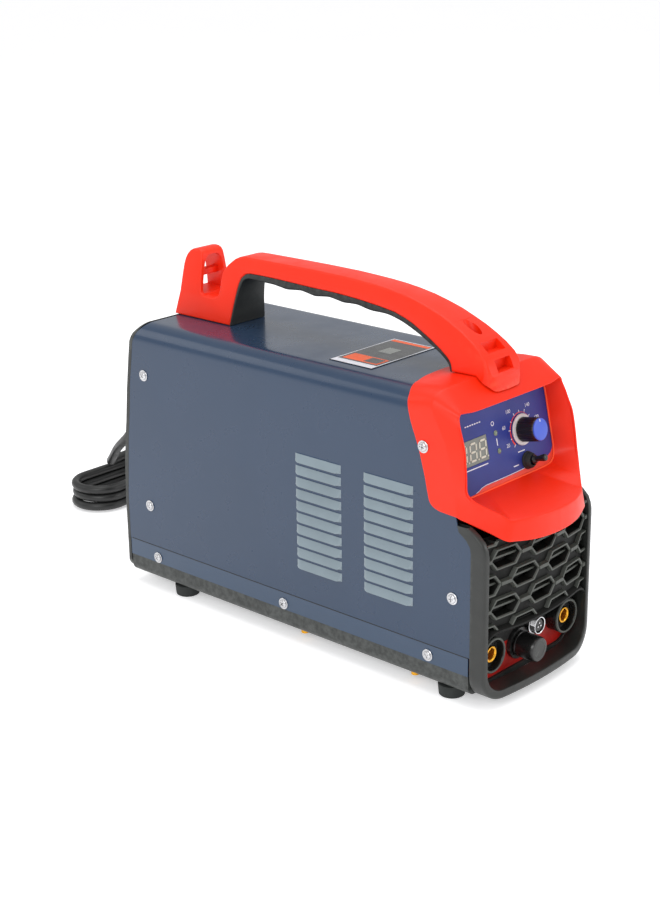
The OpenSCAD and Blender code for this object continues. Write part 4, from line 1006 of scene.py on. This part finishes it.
# curved red field along the panel's lower edge
smile = [(-65, 1.0), (65, 1.0), (65, 16), (63.8, 13.2), (61, 10.2), (56, 7.8), (48, 6.6), (40, 6.2), (28, 5.6), (10, 5.0), (-10, 4.8), (-30, 4.9), (-36, 4.2), (-41, 2.4), (-46, 1.6), (-65, 1.3)]
sm = on_panel("panel_band", smile, 0.46, 0.08, M["printred"])
edge = [(-45, 2.2), (-41, 3.1), (-36, 5.0), (-30, 5.7), (-10, 5.6), (10, 5.8), (28, 6.4), (40, 7.0), (48, 7.4), (56, 8.6)]
low = [(56, 8.1), (48, 6.9), (40, 6.5), (28, 5.9), (10, 5.3), (-10, 5.1), (-30, 5.2), (-36, 4.5), (-41, 2.7), (-45, 1.9)]
marks.append(on_panel("m", edge + low, 0.46, 0.12, M["print"]))
# dash between the two lamps, line under the display, blank name strip
marks.append(on_panel("m", [(-8.9, 33.4), (-7.9, 33.4), (-7.9, 39.4), (-8.9, 39.4)], 0.46, 0.08, M["print"]))
marks.append(on_panel("m", [(-58, 21.9), (-24, 21.9), (-24, 22.8), (-58, 22.8)], 0.46, 0.08, M["print"]))
for k in range(7):
    x0 = -46.8 + k * 3.1
    marks.append(on_panel("m", [(x0, 57.6), (x0 + 2.1, 57.6), (x0 + 2.1, 58.5), (x0, 58.5)], 0.46, 0.08, M["print"]))
ringm = []
for k in range(28):
    t0, t1 = 2 * math.pi * k / 28, 2 * math.pi * (k + 1) / 28
    ringm.append([(-11.1 + 2.0 * math.cos(t0), 52.7 + 2.0 * math.sin(t0)), (-11.1 + 2.0 * math.cos(t1), 52.7 + 2.0 * math.sin(t1)),
                  (-11.1 + 1.4 * math.cos(t1), 52.7 + 1.4 * math.sin(t1)), (-11.1 + 1.4 * math.cos(t0), 52.7 + 1.4 * math.sin(t0))])
for q in ringm:
    marks.append(on_panel("m", q, 0.46, 0.08, M["print"]))
# ticks round the knob
for k in range(11):
    t = math.radians(225 - 27 * k)
    c_, s_ = math.cos(t), math.sin(t)
    r0_, r1_ = 15.0, 16.8 if k % 2 else 17.6
    w_ = 0.35
    marks.append(on_panel("m", [(KX + r0_ * c_ - w_ * s_, KS + r0_ * s_ + w_ * c_), (KX + r1_ * c_ - w_ * s_, KS + r1_ * s_ + w_ * c_),
                                (KX + r1_ * c_ + w_ * s_, KS + r1_ * s_ - w_ * c_), (KX + r0_ * c_ + w_ * s_, KS + r0_ * s_ - w_ * c_)], 0.46, 0.08, M["print"]))
# toggle positions: small bars
for x0, s0, w_ in ((8.5, 10.2, 7.0), (17.0, 20.6, 9.5), (41.5, 10.2, 6.0)):
    marks.append(on_panel("m", [(x0, s0), (x0 + w_, s0), (x0 + w_, s0 + 0.9), (x0, s0 + 0.9)], 0.46, 0.08, M["print"]))
graphics = join("panel_marks", marks)
# red arc beside the knob
arc = []
for r_ in (14.5, 15.9):
    side_pts = []
    for k in range(25):
        t = math.radians(225 - 190 * k / 24)
        rr = r_ if r_ < 15 else 14.6 + 1.6 * (1 - k / 24)
        side_pts.append((KX + rr * math.cos(t), KS + rr * math.sin(t)))
    arc.append(side_pts)
arcs = []
for k in range(24):
    arcs.append(on_panel("m", [arc[0][k], arc[0][k + 1], arc[1][k + 1], arc[1][k]], 0.46, 0.07, M["printred"]))
arc_o = join("panel_arc", arcs)


def text_on_panel(name, body_, x, s, size, mat):
    cu_ = bpy.data.curves.new(name, "FONT")
    cu_.body = body_
    cu_.size = size * 1e-3
    cu_.extrude = 0.00004
    cu_.align_x, cu_.align_y = "CENTER", "CENTER"
    cu_.resolution_u = 3
    o = bpy.data.objects.new(name, cu_)
    COL.objects.link(o)
    ex = Vector((1, 0, 0))
    es = Vector((0, SIN12, COS12))
    en = Vector(NP)
    o.matrix_world = Matrix.Translation(C(PAN(x, 0.52, s))) @ Matrix((ex, es, en)).transposed().to_4x4()
    bpy.context.view_layer.update()
    dg = bpy.context.evaluated_depsgraph_get()
    me_ = bpy.data.meshes.new_from_object(o.evaluated_get(dg))
    me_.transform(o.matrix_world)
    bpy.data.objects.remove(o)
    me_.materials.clear()
    return new_object(name, me_, mat, "case")


nums = []
for txt, x, s in (("20", 5.5, 29.5), ("60", 2.8, 45.4), ("100", 11.3, 57.4), ("140", 38.2, 57.2), ("170", 48.6, 44.0), ("200", 44.5, 27.0)):
    nums.append(text_on_panel("n", txt, x, s, 4.6, M["print"]))
numbers = join("dial_numbers", nums)

# seven-segment digits
segs = []
SEG = {"a": ((-3.4, 7.0), (3.4, 7.0)), "g": ((-3.2, 0.0), (3.2, 0.0)), "d": ((-3.4, -7.0), (3.4, -7.0)),
       "f": ((-4.0, 6.4), (-4.0, 0.6)), "b": ((4.0, 6.4), (4.0, 0.6)), "e": ((-4.0, -0.6), (-4.0, -6.4)), "c": ((4.0, -0.6), (4.0, -6.4))}
for dx in (-53.4, -40.6, -27.8):
    for (ax_, ay_), (bx_, by_) in SEG.values():
        d = Vector((bx_ - ax_, by_ - ay_)).normalized()
        nrm = Vector((-d.y, d.x)) * 0.85
        a_, b_ = Vector((ax_, ay_)), Vector((bx_, by_))
        poly = [a_, a_ + d * 0.8 + nrm, b_ - d * 0.8 + nrm, b_, b_ - d * 0.8 - nrm, a_ + d * 0.8 - nrm]
        segs.append(on_panel("s", [(dx + p.x + p.y * 0.12, 35.8 + p.y) for p in poly], 0.6, 0.08, M["segment"]))
    segs.append(on_panel("s", [(dx + 5.6 + 0.75 * math.cos(t), 28.4 + 0.75 * math.sin(t)) for t in [2 * math.pi * k / 16 for k in range(16)]], 0.6, 0.08, M["segment"]))
digits = join("display_digits", segs)

# lamp lenses domed
for i, (x, s) in enumerate(((-8.8, 44.2), (-7.3, 28.5))):
    l_ = lathe("lamp_%d" % i, [(2.3, 0.4), (2.3, 0.8), (1.9, 0.95), (1.7, 1.2), (1.2, 1.55), (0.02, 1.7)], panel_org(x, s), NP, M["led"], n=32)

# ----------------------------------------------------------------- handle
def hw(z):
    return 24 - 0.165 * (z - 265.6)


TOPL = [(20.2, 257.6), (19.4, 260), (20.4, 263.2), (23.2, 271), (26.4, 278.6), (30.5, 285.4), (38.7, 292.4), (47.7, 298.2), (58, 304), (70, 309.4),
        (82, 314.4), (95.7, 318.6), (110, 322.4), (126.3, 325.4), (141, 327.3), (156.7, 328.6), (175, 329.6), (195, 330.4), (225.8, 330.8), (257, 330.8),
        (288.6, 330.6), (305, 330.5), (314, 330.2)]
CORN = [(319.5, 329.2), (325, 326.6), (332.5, 320.8), (337, 316), (339.4, 311.6), (340.3, 306), (340.8, 297), (341.6, 292.4), (344, 289.3), (347.5, 288.3), (352, 288.2), (359, 288.4), (364, 288.8)]
REARL = [(366, 291), (366.4, 300), (367, 318), (367.8, 325), (369.6, 328), (372.6, 329.4), (376.5, 329.6), (380.6, 329), (384.4, 327), (387.6, 323.6),
         (389.8, 319.4), (391.2, 314), (392.4, 303), (393.6, 288.5), (395.2, 275), (396.3, 265.9)]
ARCH = [(324.6, 265.9), (323.2, 275), (321.6, 285.4), (319.2, 297.7), (317, 306.2), (314.3, 311.1), (309.6, 314.9), (304.6, 316.1),
        (290, 316.3), (275.5, 316.2), (250, 315.6), (229.8, 314.9), (215, 314.7), (199.9, 314.5), (185, 313.8), (170.7, 312.9), (150, 311), (130.6, 308.5), (117.9, 305),
        (109, 301.8), (101.7, 298.4), (89, 292.2), (77.4, 285.8), (70.4, 281.2), (67.4, 278.8), (65.5, 276.3), (64.2, 273.4), (63.5, 270.0)]
BASE = [(60, 270.3), (38.2, 270.6), (26, 262.9)]
REARL[-2:] = [(396.4, 275), (398.2, 265.9)]
prof = TOPL + CORN + REARL + ARCH + BASE


def inset(poly, d):
    """Closed outline (clockwise or not) moved inwards by d."""
    m = len(poly)
    ar = sum(poly[i][0] * poly[(i + 1) % m][1] - poly[(i + 1) % m][0] * poly[i][1] for i in range(m))
    sg = 1.0 if ar > 0 else -1.0
    out = []
    for i in range(m):
        a, b, c = (Vector(poly[(i + q) % m]) for q in (-1, 0, 1))
        n1, n2 = (b - a).normalized(), (c - b).normalized()
        n1, n2 = Vector((-n1.y, n1.x)) * sg, Vector((-n2.y, n2.x)) * sg
        nn = (n1 + n2)
        nn = nn / max(nn.length, 1e-6)
        k = min(1.0 / max(nn.dot(n1), 0.5), 1.4)
        out.append(tuple(b + nn * d * k))
    return out


lays = []
for k in range(5):
    t = math.pi / 2 * k / 4
    lays.append((inset(prof, 1.7 * (1 - math.cos(t))), 1.7 * (1 - math.sin(t))))
rows = []
for sgn in (-1, 1):
    part = [[(sgn * (hw(z) - dx), y, z) for y, z in pl] for pl, dx in lays]
    rows += part[::-1] if sgn < 0 else part
verts, faces = grid(rows, close_v=True)
n = len(prof)
faces = [fc for fc in faces] + [tuple(range(n)), tuple(range(len(verts) - n, len(verts)))]
handle = make("handle_body", verts, faces, M["handle"], angle=40)


def block(name, poly, a, b, place):
    return prism(name, poly, a, b, place, M["handle"], body=None)


# rounded tongue on the brow
tongue = [(-27, 430), (-27, 46), (-25.6, 39), (-23.6, 33), (-21.4, 28), (-19.2, 24.4), (-16.6, 22.4), (-13, 21.6), (0, 21.2),
          (13, 21.6), (16.6, 22.4), (19.2, 24.4), (21.4, 28), (23.6, 33), (25.6, 39), (27, 46), (27, 430)]
cut(handle, block("c", tongue, 240, 345, lambda u, w, h: (u, w, h)), "INTERSECT")
# rear strap loop
loop_p = [(-16.2, 289), (16.2, 289), (15.6, 294), (14.6, 301), (13.2, 308), (11.8, 315), (10, 320), (6.4, 323.2), (0, 324),
          (-6.4, 323.2), (-10, 320), (-11.8, 315), (-13.2, 308), (-14.6, 301), (-15.6, 294)]
cut(handle, block("c", loop_p, 363, 400, lambda u, w, h: (u, h, w)))
# front strap pocket: two recesses with the bar of the moulding left between them
lowp = [(-10.5, 273.4), (10.5, 273.4), (10.5, 283.2), (-10.5, 283.2)]
cut(handle, block("c", lowp, 14, 33.5, lambda u, w, h: (u, h, w)))
valley = [(-11.5, 287.2), (11.5, 287.2), (11.5, 300), (-11.5, 300)]
cut(handle, block("c", valley, 34, 43.5, lambda u, w, h: (u, h, w)))
ov = [(5.2 * math.cos(2 * math.pi * k / 32), 6.2 * math.sin(2 * math.pi * k / 32)) for k in range(32)]
t35 = math.radians(-28)
cut(handle, block("c", ov, -7, 12, lambda u, w, h: (u, 58 + w * math.cos(t35) - h * math.sin(t35), 301 + w * math.sin(t35) + h * math.cos(t35))))
shade(handle, 42)
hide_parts("handle_shell")
bars = prism("strap_bars", [(375.2, 302.9), (383.4, 302.9), (383.4, 308.9), (375.2, 308.9)], -16.0, 16.0, lambda u, w, h: (h, u, w), M["handle"])
bevel(bars, 0.9, 3)

# grip lining with finger lobes
GLOW = [(322.9, 266.1), (321.4, 275), (320, 284), (317.2, 296), (314.6, 303.6), (311.4, 308.4), (306, 310.8), (298, 311), (286, 310.6), (275, 310.4), (266, 309.4), (258, 308.6), (249, 309.4), (241, 310),
        (232, 308.9), (224, 307.8), (216, 308.6), (207, 309.4), (198, 308.4), (190, 307.4), (181, 307.8), (173, 307.8), (165, 306.4), (157, 305.4), (148, 305.4), (140, 305.2), (130.6, 303.6), (119.4, 300.6),
        (103.2, 294.4), (90.4, 288.4), (79, 282.6), (72.6, 278.6), (68.5, 275), (66.3, 270.3)]
up_l = [(y - (0.1 if i < 7 else 0), z - (0 if i < 7 else 0.1)) for i, (y, z) in enumerate(ARCH)]


def resample(pts, m):
    p = [Vector((a, b)) for a, b in pts]
    d = [0.0]
    for a, b in zip(p, p[1:]):
        d.append(d[-1] + (b - a).length)
    out, i = [], 0
    for k in range(m):
        t = d[-1] * k / (m - 1)
        while i < len(p) - 2 and d[i + 1] < t:
            i += 1
        out.append(p[i].lerp(p[i + 1], min(1.0, (t - d[i]) / max(d[i + 1] - d[i], 1e-9))))
    return out


NG = 170
upr = resample(up_l, NG)
lowr = resample([tuple(q) for q in catmull(GLOW, 4)], NG)
rows = []
for a, b in zip(upr, lowr):
    th = max((b - a).length, 0.1)
    rv = min(0.85, 1.6 / th)
    sec_ = []
    for sx, v_ in ((-1.0, 0.0), (1.0, 0.0), (1.0, 1 - rv), (0.98, 1 - rv * 0.6), (0.94, 1 - rv * 0.2), (0.9, 1.0),
                   (-0.9, 1.0), (-0.94, 1 - rv * 0.2), (-0.98, 1 - rv * 0.6), (-1.0, 1 - rv)):
        q = a.lerp(b, v_)
        sec_.append(((hw(q.y) - 0.9) * sx, q.x, q.y))
    rows.append(sec_)
verts, faces = grid(rows, close_v=True)
faces += [tuple(range(10)), tuple(range(len(verts) - 10, len(verts)))]
grip = make("handle_grip_v", verts, faces, M["grip"], angle=50)
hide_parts("handle_grip")

# ------------------------------------------------------------ label on top
def top_quad(name, x0, x1, y0, y1, z, th, mat):
    o = prism(name, [(x0, y0), (x1, y0), (x1, y1), (x0, y1)], z, z + th, lambda u, w, h: (u, w, h), mat)
    return o


LZ = 266.16
top_quad("label_border", -47.4, 37.4, 129.6, 176.4, LZ, 0.05, M["print"])
top_quad("label_field", -39.5, 36.0, 131.0, 175.0, LZ + 0.06, 0.05, M["label"])
top_quad("label_strip_a", -37.0, -20.0, 133.0, 172.0, LZ + 0.12, 0.05, M["orange"])
top_quad("label_strip_b", -35.0, -22.0, 135.0, 150.0, LZ + 0.18, 0.05, M["label"])
top_quad("label_strip_c", 30.0, 35.0, 132.0, 174.0, LZ + 0.12, 0.05, M["orange"])
top_quad("label_strip_d", -4.0, 12.0, 146.0, 160.0, LZ + 0.12, 0.05, M["window"])

# ------------------------------------------------------------------- feet
fs = []
for x in (-60, 60):
    for y in (30, 357):
        fs.append(lathe("f", [(2.4, 4.8), (5.0, 4.8), (5.0, 0.6), (5.6, 0.05), (10.4, 0.05), (11.2, 0.7), (11.6, 4.0), (12.1, 9.6), (12.0, 10.6), (11.4, 10.9), (2.4, 10.9)], (x, y, 0), (0, 0, 1), M["rubber"], n=48))
feet = join("feet_v", fs)
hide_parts("feet")

# -------------------------------------------- materials of the CAD nodes
NODE_MAT = {
    "base_pan": "pan", "base_tray": "tray", "foot_screws": "zinc", "base_screws": "brass", "socket_plate": "plate_red", "gas_outlet": "gloss",
    "control_plate": "steel", "panel_overlay": "blue", "display_module": "gloss", "display_lens": "window", "indicator_leds": "led", "potentiometer": "steel",
    "knob_shaft": "zinc", "control_board": "pcb", "handle_screws": "zinc", "label_plate": "label", "rear_panel": "black", "fan_frame": "fan", "fan_rotor": "fan",
    "fan_guard": "wire", "switch_housing": "gloss", "switch_rocker": "rocker", "cable_gland": "gloss", "gas_inlet": "brass", "earth_stud": "brass", "inner_frame": "steel",
    "heatsinks": "alu", "power_board": "pcb", "capacitors": "sleeve", "power_modules": "module", "main_transformer": "ferrite", "output_choke": "copper",
    "igniter_coil": "ferrite", "gas_valve": "steel", "gas_hose": "rubber", "busbars": "copper",
}
for nm, key in NODE_MAT.items():
    o = NODES[nm]
    if o.hide_render:
        continue
    o.data.materials.clear()
    o.data.materials.append(M[key])
